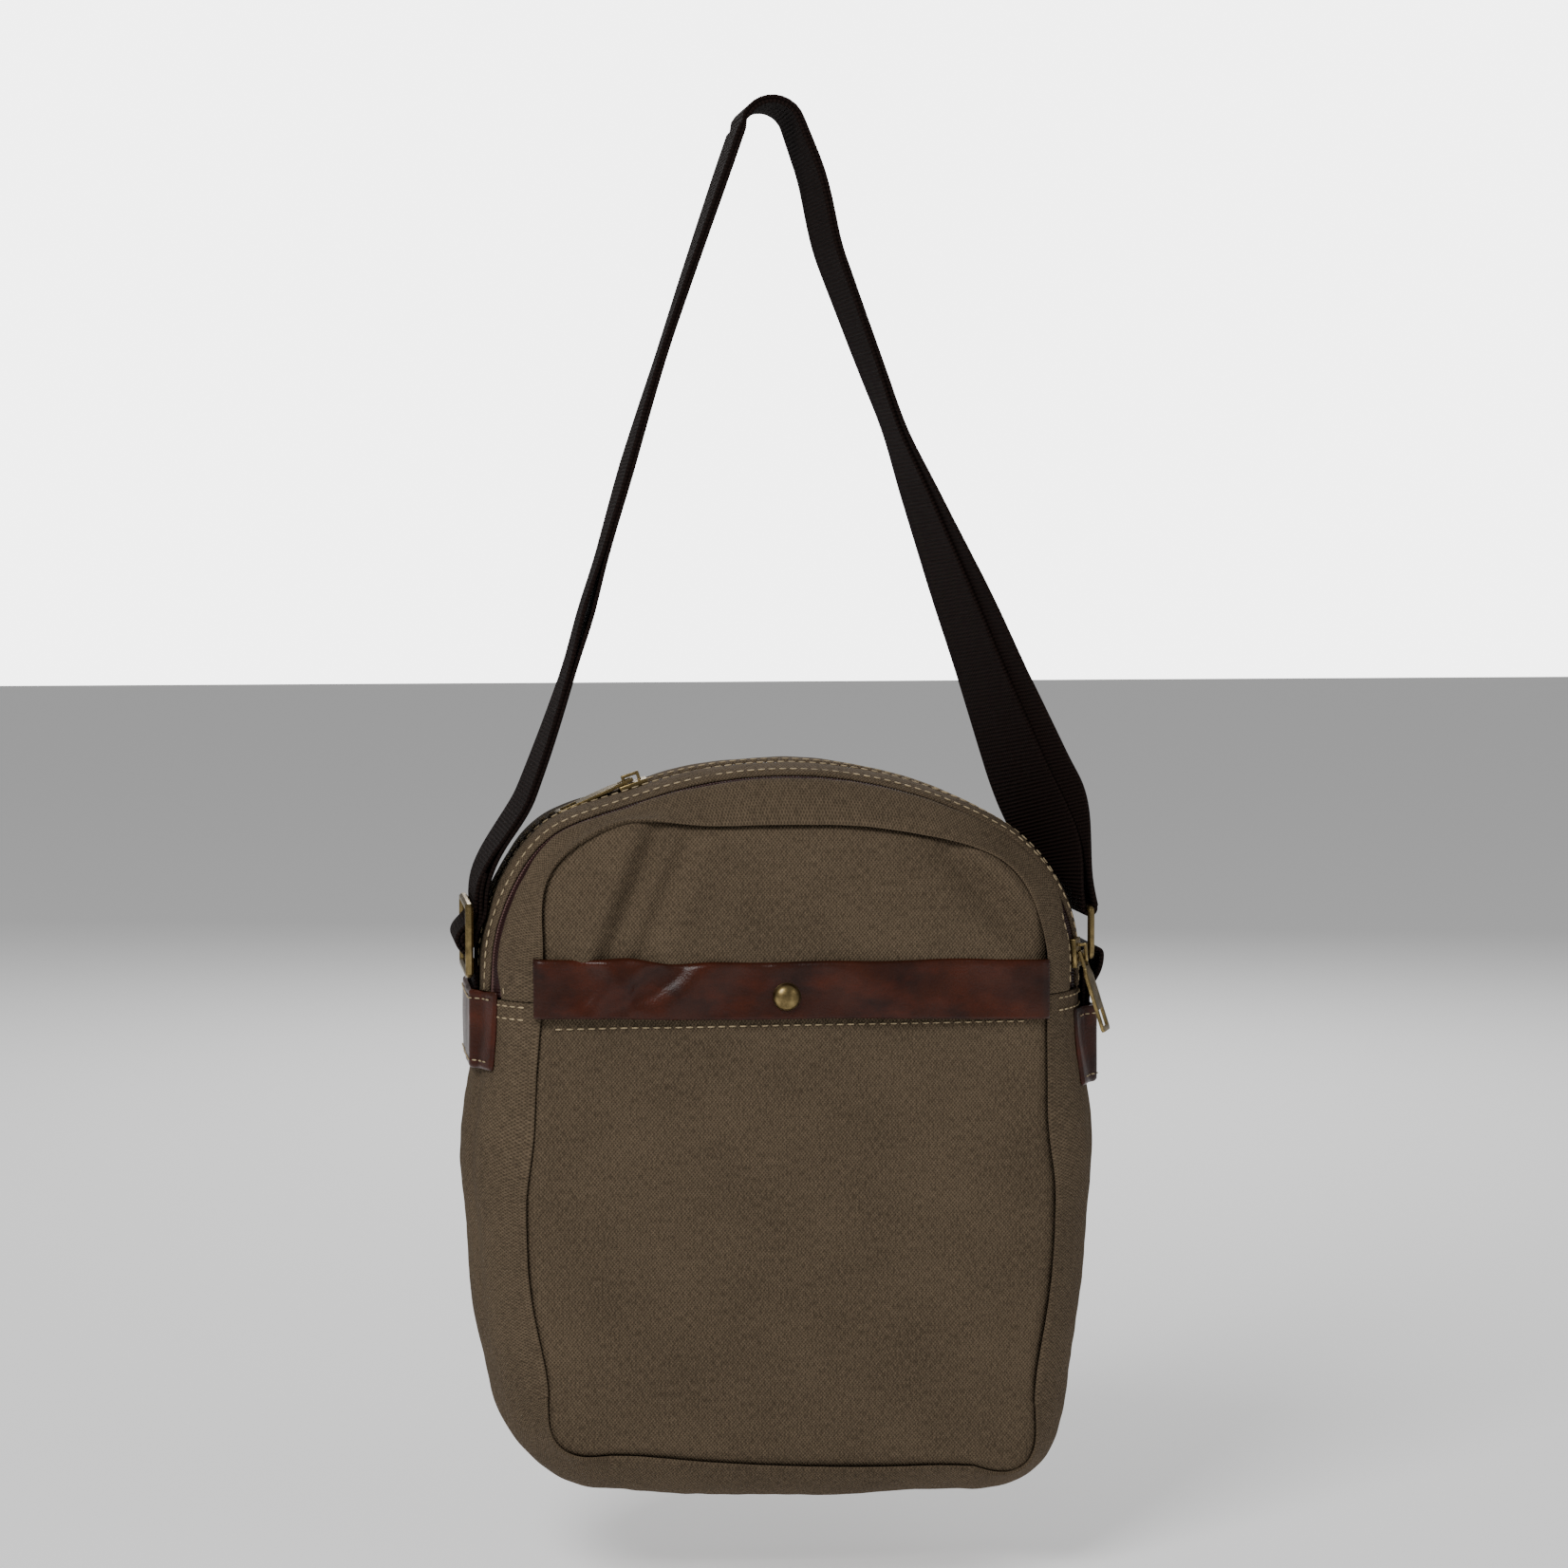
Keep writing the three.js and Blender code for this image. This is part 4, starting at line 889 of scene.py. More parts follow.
def build_leather_band():
    """A strip folded over the pocket mouth, its section carried across the bag. Its front is moved
    by folds, unevenness and the snap's dimple, and sags with the mouth."""
    half = SIDE - FRONT_INSET - 0.6
    x = np.linspace(-half, half, 380)
    middle, section = binding_section()
    y, z = section[None, :, 0], section[None, :, 1]
    xs = x[:, None]
    dimple = 0.8 * bell(xs, z, SNAP_X, SNAP_Z, 7.5)
    moved = (settings().wrinkle_depth * 0.6 * creased(xs, z, LEATHER_CREASES)
             + 0.35 * ripple(xs, z, 46, 51) + 0.12 * ripple(xs, z, 13, 52) + dimple)
    # Grooves stay shallower than ridges, because the pocket lies close behind.
    moved = np.where(moved > 0, 0.9 * np.tanh(moved / 0.9), 3 * np.tanh(moved / 3))
    yy = y + (y < middle) * (moved - 0.5) + rolled(half - np.abs(xs), 1.6, 3.5)
    lift = smoothstep(z, BINDING_LOW + 3, BINDING_TOP)
    zz = z + band_wave(xs) * lift + 0.25 * np.sin(xs / 17) * (1 - lift) - 0.016 * xs + 1.4
    made = tube("pocket_leather_band", xyz(xs, yy, zz), cloth_grid(x, section[:, 0], section[:, 1]))
    finished(made, shared("glazed_leather", glazed), "bag", ["pocket_leather_band"])


def tab_surface(sign, layers, dy, z, depth):
    """A point of a tab: it stands off the wall over the webbing, and comes down to it at both edges
    in an S curve."""
    out = side_fullness(z)
    stand = np.maximum(SIDE + GAP + layers * LAYER, SIDE + GAP + out)
    down = SIDE + 0.2 + out * (1 - 0.9 * forwardness(STRAP_Y + dy) ** 7) - inset_at(STRAP_Y + dy)
    over = 1 - smoothstep(np.abs(dy), 21.3, 25.6)
    return sign * (down + (stand - down) * over + depth)


def build_tab(name, sign, top, layers):
    """A leather strip wrapped over the webbing: its section goes round it, and is carried down."""
    thick = 1.7
    dy, depth, take = strip_section(-TAB_FRONT, TAB_HALF, thick, 61, 0.8, 0.8, 0.3)
    depth = thick - depth
    t = np.linspace(0, 1, 40)
    z = top - TAB_HEIGHT * t
    end = np.clip(np.minimum(t, 1 - t) * TAB_HEIGHT, 0, 1)[:, None]
    round_off = np.sqrt(1 - (1 - end) ** 2)
    d = thick / 2 + (depth[None, :] - thick / 2) * (0.25 + 0.75 * round_off)
    uneven = 0.3 * ripple(z[:, None], dy[None, :], 22, 61 + sign) * take[None, :]
    x = tab_surface(sign, layers, dy[None, :], z[:, None], d + uneven)
    points = xyz(x, STRAP_Y + dy[None, :], z[:, None])
    made = tube(name, points, cloth_grid(z, dy, depth), flip=sign < 0)
    return finished(made, shared("glazed_leather", glazed), "bag", [name])


def build_leather():
    build_leather_band()
    build_tab("left_leather_tab", -1, LEFT_TAB_TOP, 1)
    build_tab("right_leather_tab", 1, RIGHT_TAB_TOP, 2)


# ---- zips ----
def coil_section(width, height, columns=14):
    """Half-round section of a closed zip coil: across from side to side, then back along its foot."""
    a = np.linspace(math.pi, 0, columns)
    across = np.concatenate([width / 2 * np.cos(a), width / 2 * np.array([0.5, -0.5])])
    up = np.concatenate([height * np.sin(a) ** 0.6, [0, 0]])
    return across, up


def coil_ribs(s, across):
    """Teeth from both sides as sines, each side half a pitch behind the other."""
    phase = np.where(across < 0, 0.0, 0.5)
    tooth = 0.5 + 0.5 * np.sin(2 * math.pi * (s / COIL_PITCH + phase))
    return 0.62 + 0.38 * tooth - 0.25 * hump(across, 0, 0.35)


def build_coil(name, zip_y):
    """The coil of a zip that runs over the top: its section carried along the outline."""
    across, up = coil_section(5.0, 1.7)
    length = UPPER.length
    s = np.arange(0.4, length - 0.4, COIL_PITCH / 4)
    ribs = coil_ribs(s[:, None], across[None, :])
    slope = math.cos(math.atan2(inset_at(zip_y - 0.5) - inset_at(zip_y + 0.5), 1.0))
    y = zip_y + across[None, :] * slope * (0.8 + 0.2 * ribs)
    points = wall(UPPER, (s / length)[:, None], y, WALL + 0.6 - up[None, :] * ribs)
    made = tube(name, points, cloth_grid(s, across, up))
    finished(made, shared("coil_plastic", plastic), "bag", [name])


def build_back_coil():
    """The straight coil of the back zip."""
    across, up = coil_section(5.0, 1.5)
    s = np.arange(-BACK_ZIP_HALF, BACK_ZIP_HALF, COIL_PITCH / 4)
    ribs = coil_ribs(s[:, None], across[None, :])
    y = REAR_Y + 0.4 + up[None, :] * ribs
    z = BACK_ZIP_Z + across[None, :] * (0.8 + 0.2 * ribs)
    made = tube("back_zip_coil", xyz(s[:, None], y, z), cloth_grid(s, across, up), flip=True)
    finished(made, shared("coil_plastic", plastic), "bag", ["back_zip_coil"])


def tape_span(middle, sign):
    """From beside the coil's middle to under the cloth's edge."""
    return sorted((middle + sign * 0.5, middle + sign * (HALF_OPENING + TAPE_HIDDEN)))


def build_tape(name, zip_y, sign):
    """A tape of a zip that runs over the top: a thin flat section carried along the outline."""
    y, depth, _ = strip_section(*tape_span(zip_y, sign), TAPE, 13, 0.2, 0.2, 0.0)
    u = np.linspace(0.5, UPPER.length - 0.5, 420) / UPPER.length
    points = wall(UPPER, u[:, None], y[None, :], WALL + 0.1 + depth[None, :])
    made = tube(name, points, cloth_grid(u * UPPER.length, y, depth))
    finished(made, zip_tape(), "bag", [name])


def build_back_tape(name, sign):
    """A straight tape of the back zip."""
    z, depth, _ = strip_section(*tape_span(BACK_ZIP_Z, sign), TAPE, 13, 0.2, 0.2, 0.0)
    x = np.linspace(-BACK_ZIP_HALF, BACK_ZIP_HALF, 120)
    y = REAR_Y + 0.35 - depth[None, :]
    made = tube(name, xyz(x[:, None], y, z[None, :]), cloth_grid(x, z, depth), flip=True)
    finished(made, zip_tape(), "bag", [name])


def build_zips():
    """Coil and tapes of the front, main and back zips."""
    for place, zip_y in (("front", FRONT_ZIP_Y), ("main", MAIN_ZIP_Y)):
        build_coil(place + "_zip_coil", zip_y)
        build_tape(place + "_zip_front_tape", zip_y, -1)
        build_tape(place + "_zip_rear_tape", zip_y, 1)
    build_back_coil()
    build_back_tape("back_zip_upper_tape", 1)
    build_back_tape("back_zip_lower_tape", -1)


# ---- metal ----
def rounded_copy(name, body, width):
    """A metal piece of the frame with its edges rounded; it stands for the frame's own."""
    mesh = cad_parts[name].data.copy()
    mesh.materials.clear()
    made = bpy.data.objects.new(name + "_rounded", mesh)
    bpy.context.scene.collection.objects.link(made)
    bpy.ops.object.select_all(action="DESELECT")
    bpy.context.view_layer.objects.active = made
    made.select_set(True)
    bpy.ops.object.mode_set(mode="EDIT")
    bpy.ops.mesh.select_all(action="SELECT")
    bpy.ops.mesh.remove_doubles(threshold=1e-6)
    bpy.ops.mesh.dissolve_limited(angle_limit=math.radians(3))
    bpy.ops.object.mode_set(mode="OBJECT")
    bevel = made.modifiers.new("rounded edges", "BEVEL")
    bevel.width = width * MM
    bevel.segments = 3
    bevel.limit_method = "ANGLE"
    bevel.angle_limit = math.radians(25)
    bevel.harden_normals = False
    mesh.polygons.foreach_set("use_smooth", [True] * len(mesh.polygons))
    return finished(made, brass(), body, [name])


def turned_piece(name, profile, node_name):
    """A profile of radius and y turned round the snap's axis."""
    radius, y = np.array(profile).T
    a = np.linspace(0, 2 * math.pi, 64, endpoint=False)
    rings = xyz(SNAP_X + radius[:, None] * np.cos(a), y[:, None], SNAP_Z + radius[:, None] * np.sin(a))
    made = lens(name, rings, (SNAP_X, y[0], SNAP_Z), (SNAP_X, y[-1], SNAP_Z), flip=True)
    finished(made, brass(), "bag", [node_name])


def build_snap():
    """The cap is a dome on a thin flange: its profile is a quarter ellipse, then a small step."""
    low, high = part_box("snap_cap")
    front, rear = low.y / MM - ORIGIN[1], high.y / MM - ORIGIN[1]
    a = np.linspace(0.06, math.pi / 2, 16)
    dome = [(5.1 * math.sin(t), front + 3.4 * (1 - math.cos(t))) for t in a]
    flange = [(5.35, front + 3.5), (5.4, front + 3.75), (5.1, front + 4.0), (1.2, front + 4.0),
              (1.1, rear - 0.1), (0.6, rear)]
    turned_piece("snap_dome", dome + flange, "snap_cap")
    for name in ("snap_socket", "snap_stud", "snap_post"):
        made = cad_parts[name]
        made.data.materials.clear()
        made.data.materials.append(brass())


def build_fittings():
    """The snap, and rounded sliders, pullers, ring and strap slider."""
    build_snap()
    for zip_name in ("front", "main", "back"):
        rounded_copy(f"{zip_name}_zip_slider", f"{zip_name}_slider", 0.35)
        rounded_copy(f"{zip_name}_zip_puller", f"{zip_name}_puller", 0.3)
    rounded_copy("strap_ring", "ring", 0.35)
    rounded_copy("strap_slider", "strap", 0.4)


# ---- strap ----
def stations(run, count, shift=None, twist=None, slide=None, skip=1):
    """Points along a run with its direction; shift moves them to its outer side, twist turns the
    ribbon and slide moves it along its own width, all worked out from the length run so far."""
    u = np.linspace(0, 1, count + 1)
    x, z, tx, tz = run.at(u)
    s = u * run.length
    off = shift(s) if shift else np.zeros_like(u)
    turn = twist(s) if twist else np.zeros_like(u)
    slip = slide(s) if slide else np.zeros_like(u)
    out = off * np.cos(turn) + slip * np.sin(turn)
    y = STRAP_Y - off * np.sin(turn) + slip * np.cos(turn)
    made = np.stack([x - tz * out, y, z + tx * out, tx, tz, np.full_like(u, WEBBING_HALF), turn], -1)
    return made[skip:]


def reversed_stations(rows):
    """The same stations run the other way."""
    return rows[::-1] * (1, 1, 1, -1, -1, 1, -1)


def tongue(x):
    """The webbing's end inside a tab, rounded as a quarter ellipse."""
    a = np.linspace(0.12, 1, 9) * math.pi / 2
    rows = np.zeros((9, 7))
    rows[:, 2] = SWING_Z - 8 * np.cos(a)
    rows[:, 0], rows[:, 1] = x + np.sign(x) * 0.5 * side_fullness(rows[:, 2]), STRAP_Y
    rows[:, 4] = 1
    rows[:, 5] = WEBBING_HALF * np.sin(a)
    return rows


def webbing_section(rows=23):
    """Section of flat webbing: flat faces, rounded thicker edges. Across -1..1 and through in mm."""
    a = np.linspace(-1, 1, rows)
    b = np.linspace(math.pi / 2, -math.pi / 2, 7)[1:-1]
    edge = 0.03
    across = np.concatenate([a * (1 - edge), 1 - edge + edge * np.cos(b),
                             -a * (1 - edge), -(1 - edge) - edge * np.cos(b)])
    half = WEBBING / 2
    through = np.concatenate([np.full(rows, half), half * np.sin(b),
                              np.full(rows, -half), -half * np.sin(b)])
    return across, through


def ribbon(name, rows):
    """Webbing through stations: its section stands across the run, turned by the twist."""
    across, through = webbing_section()
    x, y, z, dx, dz, half, twist = (rows[:, i:i + 1] for i in range(7))
    cos, sin = np.cos(twist), np.sin(twist)
    out = np.stack([-dz, 0 * dx, dx], -1)
    back = np.array([0, 1.0, 0])
    side = back * cos[..., None] + out * sin[..., None]
    face = out * cos[..., None] - back * sin[..., None]
    centre = np.stack([x, y, z], -1)
    step = np.linalg.norm(np.diff(centre[:, 0], axis=0), axis=-1)
    run = np.append(0, np.cumsum(step))
    points = centre + side * (half * across)[..., None] + face * through[None, :, None]
    made = tube(name, points, cloth_grid(run, across * WEBBING_HALF, through))
    return finished(made, shared("ribbed_webbing", webbing), "strap", [name])


def tangent_from(start, sign):
    """Direction and end of the straight way from start to where it touches the hook's arc."""
    reach = HOOK - start
    length = np.hypot(*reach)
    turn = sign * math.asin(OVER_HOOK / length)
    unit = reach / length
    direction = np.array([unit[0] * math.cos(turn) - unit[1] * math.sin(turn),
                          unit[0] * math.sin(turn) + unit[1] * math.cos(turn)])
    return direction, start + direction * length * math.cos(turn)


def left_bow(s):
    """The left leg bows inwards over its lower half: a bell curve of the length run."""
    return 6.5 * hump(s, 60, 95) * smoothstep(s, 0, 34)


def right_bow(s):
    """The right leg bows outwards between S curves near its ends."""
    return -4.0 * smoothstep(s, 0, 60) * (1 - smoothstep(s, 262, 300))


def bowed(a, b, bow):
    """From a to b, moved to the right by bow of the length run."""
    points = line(a, b, 160)
    way = (np.asarray(b, float) - a) / np.linalg.norm(np.asarray(b, float) - a)
    s = np.linalg.norm(points - a, axis=1)
    return points + bow(s)[:, None] * np.array([way[1], -way[0]])


def strap_turn(s, length):
    """How far the ribbon is turned, in radians, smoothly between values set along each leg;
    the user's turns scale them."""
    choice = settings()
    left = np.interp(s, (0, 10, 34, 64, 95, 126, 172, 218, 290), (0, 1, 4, 2, -1, -2.5, 0, -3, 0))
    right = np.interp(length - s, (0, 4, 24, 40, 67, 98, 129, 175, 195, 221, 283, 330),
                      (0, 0, -27, -31, -25, -18, -14, -5, 1, -2, -5, 0))
    turn = np.where(s < length / 2, left * choice.left_turn / 4, right * choice.right_turn / -31)
    window = np.hanning(15) / np.hanning(15).sum()
    return np.radians(np.convolve(np.pad(turn, 7, mode="edge"), window, mode="valid"))


LEG_X = LAYER - FIRST_LAYER  # the left leg leaves the slider here
FOOT = np.array([LEG_X, SLIDER_Z + 12])
RING_BAR = np.array([RING_X, RING_Z + RING_UP])


def over_the_hook(right_touch):
    """The middle between the strap's two layers, from the slider over the hook to the ring."""
    knee = FOOT + (0, 7)
    left_way, left_touch = tangent_from(knee, 1)
    knee_end = knee + left_way * 5
    start = math.atan2(*(left_touch - HOOK)[::-1])
    end = math.atan2(*(right_touch - HOOK)[::-1])
    return Run(
        bezier(FOOT, FOOT + (knee - FOOT) * 2 / 3, knee_end + (knee - knee_end) * 2 / 3, knee_end),
        bowed(knee_end, left_touch, left_bow),
        arc(HOOK, OVER_HOOK, start % (2 * math.pi), end),
        bowed(RING_BAR, right_touch, right_bow)[::-1],
    )


def both_layers(middle):
    """The outer layer up to the ring and the inner one, from the slider too. They lie close, and
    part near the slider, at the ring and at one slit in the left leg."""
    length = middle.length

    def spread(s):
        from_slider = 1 - smoothstep(s, 4, 30)
        from_ring = 1 - smoothstep(length - s, 2, 30)
        close = (WEBBING + 0.08) / 2
        slit = 0.9 * hump(s, 118, 16)
        return close + (LAYER - close) * from_slider + (RING_WRAP - close) * from_ring + slit

    def turned(s):
        return strap_turn(s, length)

    def fanned(s):
        """The outer layer slips forwards in the lower half of the right leg."""
        return -12 * smoothstep(length - s, 6, 50) * (1 - smoothstep(length - s, 100, 240))

    return (stations(middle, 260, spread, turned, fanned),
            stations(middle, 260, lambda s: -spread(s), turned, skip=0))


def up_through_slider():
    """From the left tab up, out round the slider's middle bar as a cosine, and back in."""
    z = SWING_Z + (FOOT[1] - SWING_Z) * np.linspace(0, 1, 61)
    away = np.minimum(np.abs(z - SLIDER_Z) / 11, 1)
    bulge = SLIDER_X + SLIDER_WRAP + LAYER - FIRST_LAYER
    return Run(np.stack([-FIRST_LAYER - bulge * 0.5 * (1 + np.cos(math.pi * away)), z], -1))


def round_slider_bar():
    """The inner layer comes down to the slider's middle bar, round it, and up to where it is sewn."""
    start = (-SLIDER_X + SLIDER_WRAP, SLIDER_Z)
    inner = (LEG_X + LAYER, FOOT[1])
    down = Run(bezier(inner, (inner[0], SLIDER_Z + 6), (start[0], SLIDER_Z + 5), start))
    end = math.radians(-240)
    bar = Run(arc((-SLIDER_X, SLIDER_Z), SLIDER_WRAP, 0, end))
    out = np.array([-SLIDER_X + SLIDER_WRAP * math.cos(end), SLIDER_Z + SLIDER_WRAP * math.sin(end)])
    sewn = Run(bezier(out, out + (3, 1.7), (LEG_X, SLIDER_Z + 6.5), (LEG_X, SLIDER_Z + 9)),
               line((LEG_X, SLIDER_Z + 9), FOOT))
    return [stations(down, 12), stations(bar, 24), stations(sewn, 14)]


def build_strap():
    """The long webbing: up from the left tab, through the slider, over the hook, round the ring and
    back over the hook to the slider's middle bar."""
    right_way, right_touch = tangent_from(RING_BAR, -1)
    middle = over_the_hook(right_touch)
    outer, inner = both_layers(middle)
    leg_angle = math.atan2(right_way[0], right_way[1])
    round_ring = Run(arc(RING_BAR, RING_WRAP, -leg_angle, -leg_angle - math.pi))
    sewn_on = stations(middle, 200)[: int(16 / middle.length * 200)]
    ribbon("strap_webbing", np.concatenate([
        tongue(-FIRST_LAYER), stations(up_through_slider(), 52), outer, stations(round_ring, 20),
        reversed_stations(inner)[1:], *round_slider_bar(), sewn_on]))
    build_ring_loop()


def build_ring_loop():
    """The short webbing that holds the ring in the right tab."""
    low = np.array([RING_X, RING_Z - RING_UP])
    foot = RIGHT_TAB_TOP + 2
    out = RING_X + RING_WRAP + 2.6
    top = np.array([RING_X + 1.3, low[1] + RING_WRAP + 0.3])
    second = FIRST_LAYER + LAYER
    rows = np.concatenate([
        tongue(FIRST_LAYER),
        stations(Run(line((FIRST_LAYER, SWING_Z), (FIRST_LAYER, low[1]))), 8),
        stations(Run(
            bezier((FIRST_LAYER, low[1]), (FIRST_LAYER, top[1] - 0.6), (FIRST_LAYER + 1, top[1]), top),
            bezier(top, (out - 1, top[1]), (out, top[1] - 0.6), (out, low[1]))), 24),
        stations(Run(bezier((out, low[1]), (out, (low[1] + foot) / 2),
                            (second, foot + (low[1] - foot) * 0.4), (second, foot))), 14),
        stations(Run(line((second, foot), (second, SWING_Z))), 3),
        reversed_stations(tongue(second))[1:],
    ])
    ribbon("right_webbing_loop", rows)


# ---- stitching ----
def stitch_shape():
    """One stitch: a six-sided lozenge whose ends dip into the cloth. Along, side, up; then faces."""
    along = np.array([-0.8, 0.0, 0.8])
    size = np.array([0.75, 1.0, 0.75])
    lift = np.array([0.1, 0.25, 0.1])
    a = np.linspace(0, 2 * math.pi, 6, endpoint=False)
    rings = np.stack(np.broadcast_arrays(
        along[:, None], size[:, None] * np.cos(a), size[:, None] * np.sin(a) + lift[:, None]), -1)
    points = np.concatenate([[(-1.05, 0, -0.35)], rings.reshape(-1, 3), [(1.05, 0, -0.35)]])
    k = np.arange(6)
    n = (k + 1) % 6
    fans = np.concatenate([np.stack([0 * k, 1 + n, 1 + k], -1),
                           np.stack([13 + k, 13 + n, 0 * k + 19], -1)])
    sides = np.concatenate([np.stack([r + k, r + n, r + 6 + n, r + 6 + k], -1) for r in (1, 7)])
    return points, fans, sides


def stitch_rows(name, rows, pitch, length, radius):
    """Stitches along lines; each line is its points and the directions that face out of the cloth."""
    shape, fans, sides = stitch_shape()
    points, count = [], 0
    for path, normal in rows:
        run = np.append(0, np.cumsum(np.linalg.norm(np.diff(path, axis=0), axis=1)))
        s = np.arange(pitch * 0.6, run[-1] - pitch * 0.4, pitch)
        at = np.stack([np.interp(s, run, path[:, i]) for i in range(3)], -1)
        ahead = np.stack([np.interp(s + 0.3, run, path[:, i]) for i in range(3)], -1)
        up = np.stack([np.interp(s, run, normal[:, i]) for i in range(3)], -1)
        way = ahead - at
        way /= np.linalg.norm(way, axis=1)[:, None] + 1e-9
        up -= way * (up * way).sum(1)[:, None]
        up /= np.linalg.norm(up, axis=1)[:, None]
        side = np.cross(up, way)
        stitch = (at[:, None] + way[:, None] * shape[None, :, :1] * length / 2
                  + side[:, None] * shape[None, :, 1:2] * radius
                  + up[:, None] * shape[None, :, 2:] * radius)
        points.append(stitch.reshape(-1, 3))
        count += len(s)
    base = (np.arange(count) * len(shape))[:, None, None]
    faces = (fans + base).reshape(-1, 3).tolist() + (sides + base).reshape(-1, 4).tolist()
    made = mesh_object(name, np.concatenate(points), faces)
    made.data.materials.append(shared("waxed_thread", waxed))
    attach(made, "bag")


def wall_row(y, share, pinch):
    """A line over the top at depth y, which moves by a share of its zip's pinch."""
    u = np.linspace(0.004, 0.996, 700)
    moved = y + PINCH * (share * pinch(u))
    return wall(UPPER, u, moved, -0.4), wall_normal(UPPER, u, moved, 0)


def level_row(sign, z):
    """A level line round one side of the lower gusset."""
    y = np.linspace(FRONT_Y + 2.5, REAR_Y - 1.5, 160)
    u = np.full_like(y, LOWER.share_at(sign * SIDE, z))
    return wall(LOWER, u, y, -0.55), wall_normal(LOWER, u, y, 0)


def panel_row(z, y_of, rim, half, out):
    """A level line across a panel, out from its surface. The distance to the rim at z is rim - |x|."""
    x = np.linspace(-half, half, 300)
    path = xyz(x, y_of(x, np.full_like(x, z), rim - np.abs(x)) + out, z)
    return path, np.tile((0.0, np.sign(out), 0.0), (300, 1))


def tab_row(sign, layers, z):
    """A level line across a tab, at the height of its crowned face."""
    dy = np.linspace(2 - TAB_FRONT, TAB_HALF - 2, 140)
    crown = np.sin(math.pi * (dy + TAB_FRONT) / (TAB_FRONT + TAB_HALF))
    x = tab_surface(sign, layers, dy, z, 1.9 + 0.3 * crown)
    return xyz(x, STRAP_Y + dy, z), np.tile((float(sign), 0.0, 0.0), (140, 1))


def build_stitching():
    """Rows beside the zips, under the pocket's binding, at the gusset's joins and on the tabs."""
    edge = HALF_OPENING + STITCH_EDGE
    rows = [
        wall_row(FRONT_ZIP_Y - edge, 0.8, front_pinch),
        wall_row(FRONT_ZIP_Y + edge, -0.7, front_pinch),
        wall_row(MAIN_ZIP_Y - edge, 0.7, main_pinch),
        wall_row(MAIN_ZIP_Y + edge, -0.8, main_pinch),
        panel_row(POCKET_TOP - BAND_HEIGHT - 1.2, pocket_y, 93, 89, -0.3),
    ]
    for z in (BACK_ZIP_Z + HALF_OPENING + 2.5, BACK_ZIP_Z - HALF_OPENING - 2.5):
        rows.append(panel_row(z, back_y, 104, 101, 0.1))
    for sign in (-1, 1):
        for below in (2.2, 6.2):
            rows.append(level_row(sign, JOIN_Z - below))
    stitch_rows("bag_stitching", rows, pitch=4.0, length=2.7, radius=0.36)
    tabs = [tab_row(sign, layers, top - down)
            for sign, layers, top in ((-1, 1, LEFT_TAB_TOP), (1, 2, RIGHT_TAB_TOP))
            for down in (TAB_SEAM, TAB_HEIGHT - TAB_SEAM)]
    stitch_rows("tab_stitching", tabs, pitch=3.2, length=2.2, radius=0.3)


# ---- stage, in metres ----
FLOOR_DROP = 0.03
TARGET = Vector((0.0069, 0.0, -0.2534))  # the middle of the view
VIEW_DISTANCE = 1.4
VIEW_WIDTH = 0.5947
LAMPS = [  # place, size and power
    ("key", (-0.9, -1.2, 0.95), 0.7, 27),
    ("fill", (1.3, -1.2, 0.2), 1.2, 4),
    ("rim", (0.3, 1.4, 0.7), 1.0, 20),
]
LIT_WORLD, SEEN_WORLD = 0.24, 5.0  # brightness of the background as light, and as seen


def build_stage():
    """A pale floor under the hanging bag, soft lights and the camera."""
    x, y = np.meshgrid(np.linspace(-8, 8, 9), np.linspace(-8, 8, 9), indexing="ij")
    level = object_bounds()[0].z - FLOOR_DROP
    points = np.stack([x, y, np.full_like(x, level)], -1).reshape(-1, 3) / MM - ORIGIN
    floor = mesh_object("floor", points, grid_faces(9, 9, False, False)[0].tolist())
    pale, _, shader = new_material("pale_floor")
    shader.inputs["Base Color"].default_value = (0.92, 0.92, 0.92, 1)
    shader.inputs["Roughness"].default_value = 0.9
    shader.inputs["Emission Color"].default_value = (1, 1, 1, 1)
    shader.inputs["Emission Strength"].default_value = 0.15
    floor.data.materials.append(pale)
    floor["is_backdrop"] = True
    world = bpy.data.worlds.new("studio")
    bpy.context.scene.world = world
    world.use_nodes = True
    tree = world.node_tree
    seen = node(tree, "ShaderNodeLightPath").outputs["Is Camera Ray"]
    tree.nodes["Background"].inputs[0].default_value = (1, 1, 1, 1)
    tree.links.new(ramp(tree, seen, 0.0, 1.0, LIT_WORLD, SEEN_WORLD), tree.nodes["Background"].inputs[1])
    for lamp in LAMPS:
        soft_light(*lamp)
    place_camera()


def soft_light(name, place, size, power):
    """A square lamp that faces the middle of the view."""
    data = bpy.data.lights.new(name, "AREA")
    data.size = size
    data.energy = power
    made = bpy.data.objects.new(name, data)
    made.location = place
    made.rotation_mode = "QUATERNION"
    made.rotation_quaternion = (TARGET - Vector(place)).to_track_quat("-Z", "Y")
    bpy.context.scene.collection.objects.link(made)


def place_camera():
    """A camera on a circle round the middle of the view, turned and raised by the user's angles."""
    data = bpy.data.cameras.new("camera")
    data.sensor_width = 36
    data.lens = 36 * VIEW_DISTANCE / VIEW_WIDTH
    data.clip_start, data.clip_end = 0.01, 100
    turn, rise = settings().view_turn, settings().view_rise
    back = Vector((math.sin(turn) * math.cos(rise), -math.cos(turn) * math.cos(rise), math.sin(rise)))
    made = bpy.data.objects.new("camera", data)
    made.location = TARGET + back * VIEW_DISTANCE
    made.rotation_mode = "QUATERNION"
    made.rotation_quaternion = (-back).to_track_quat("-Z", "Y")
    bpy.context.scene.collection.objects.link(made)
    bpy.context.scene.camera = made


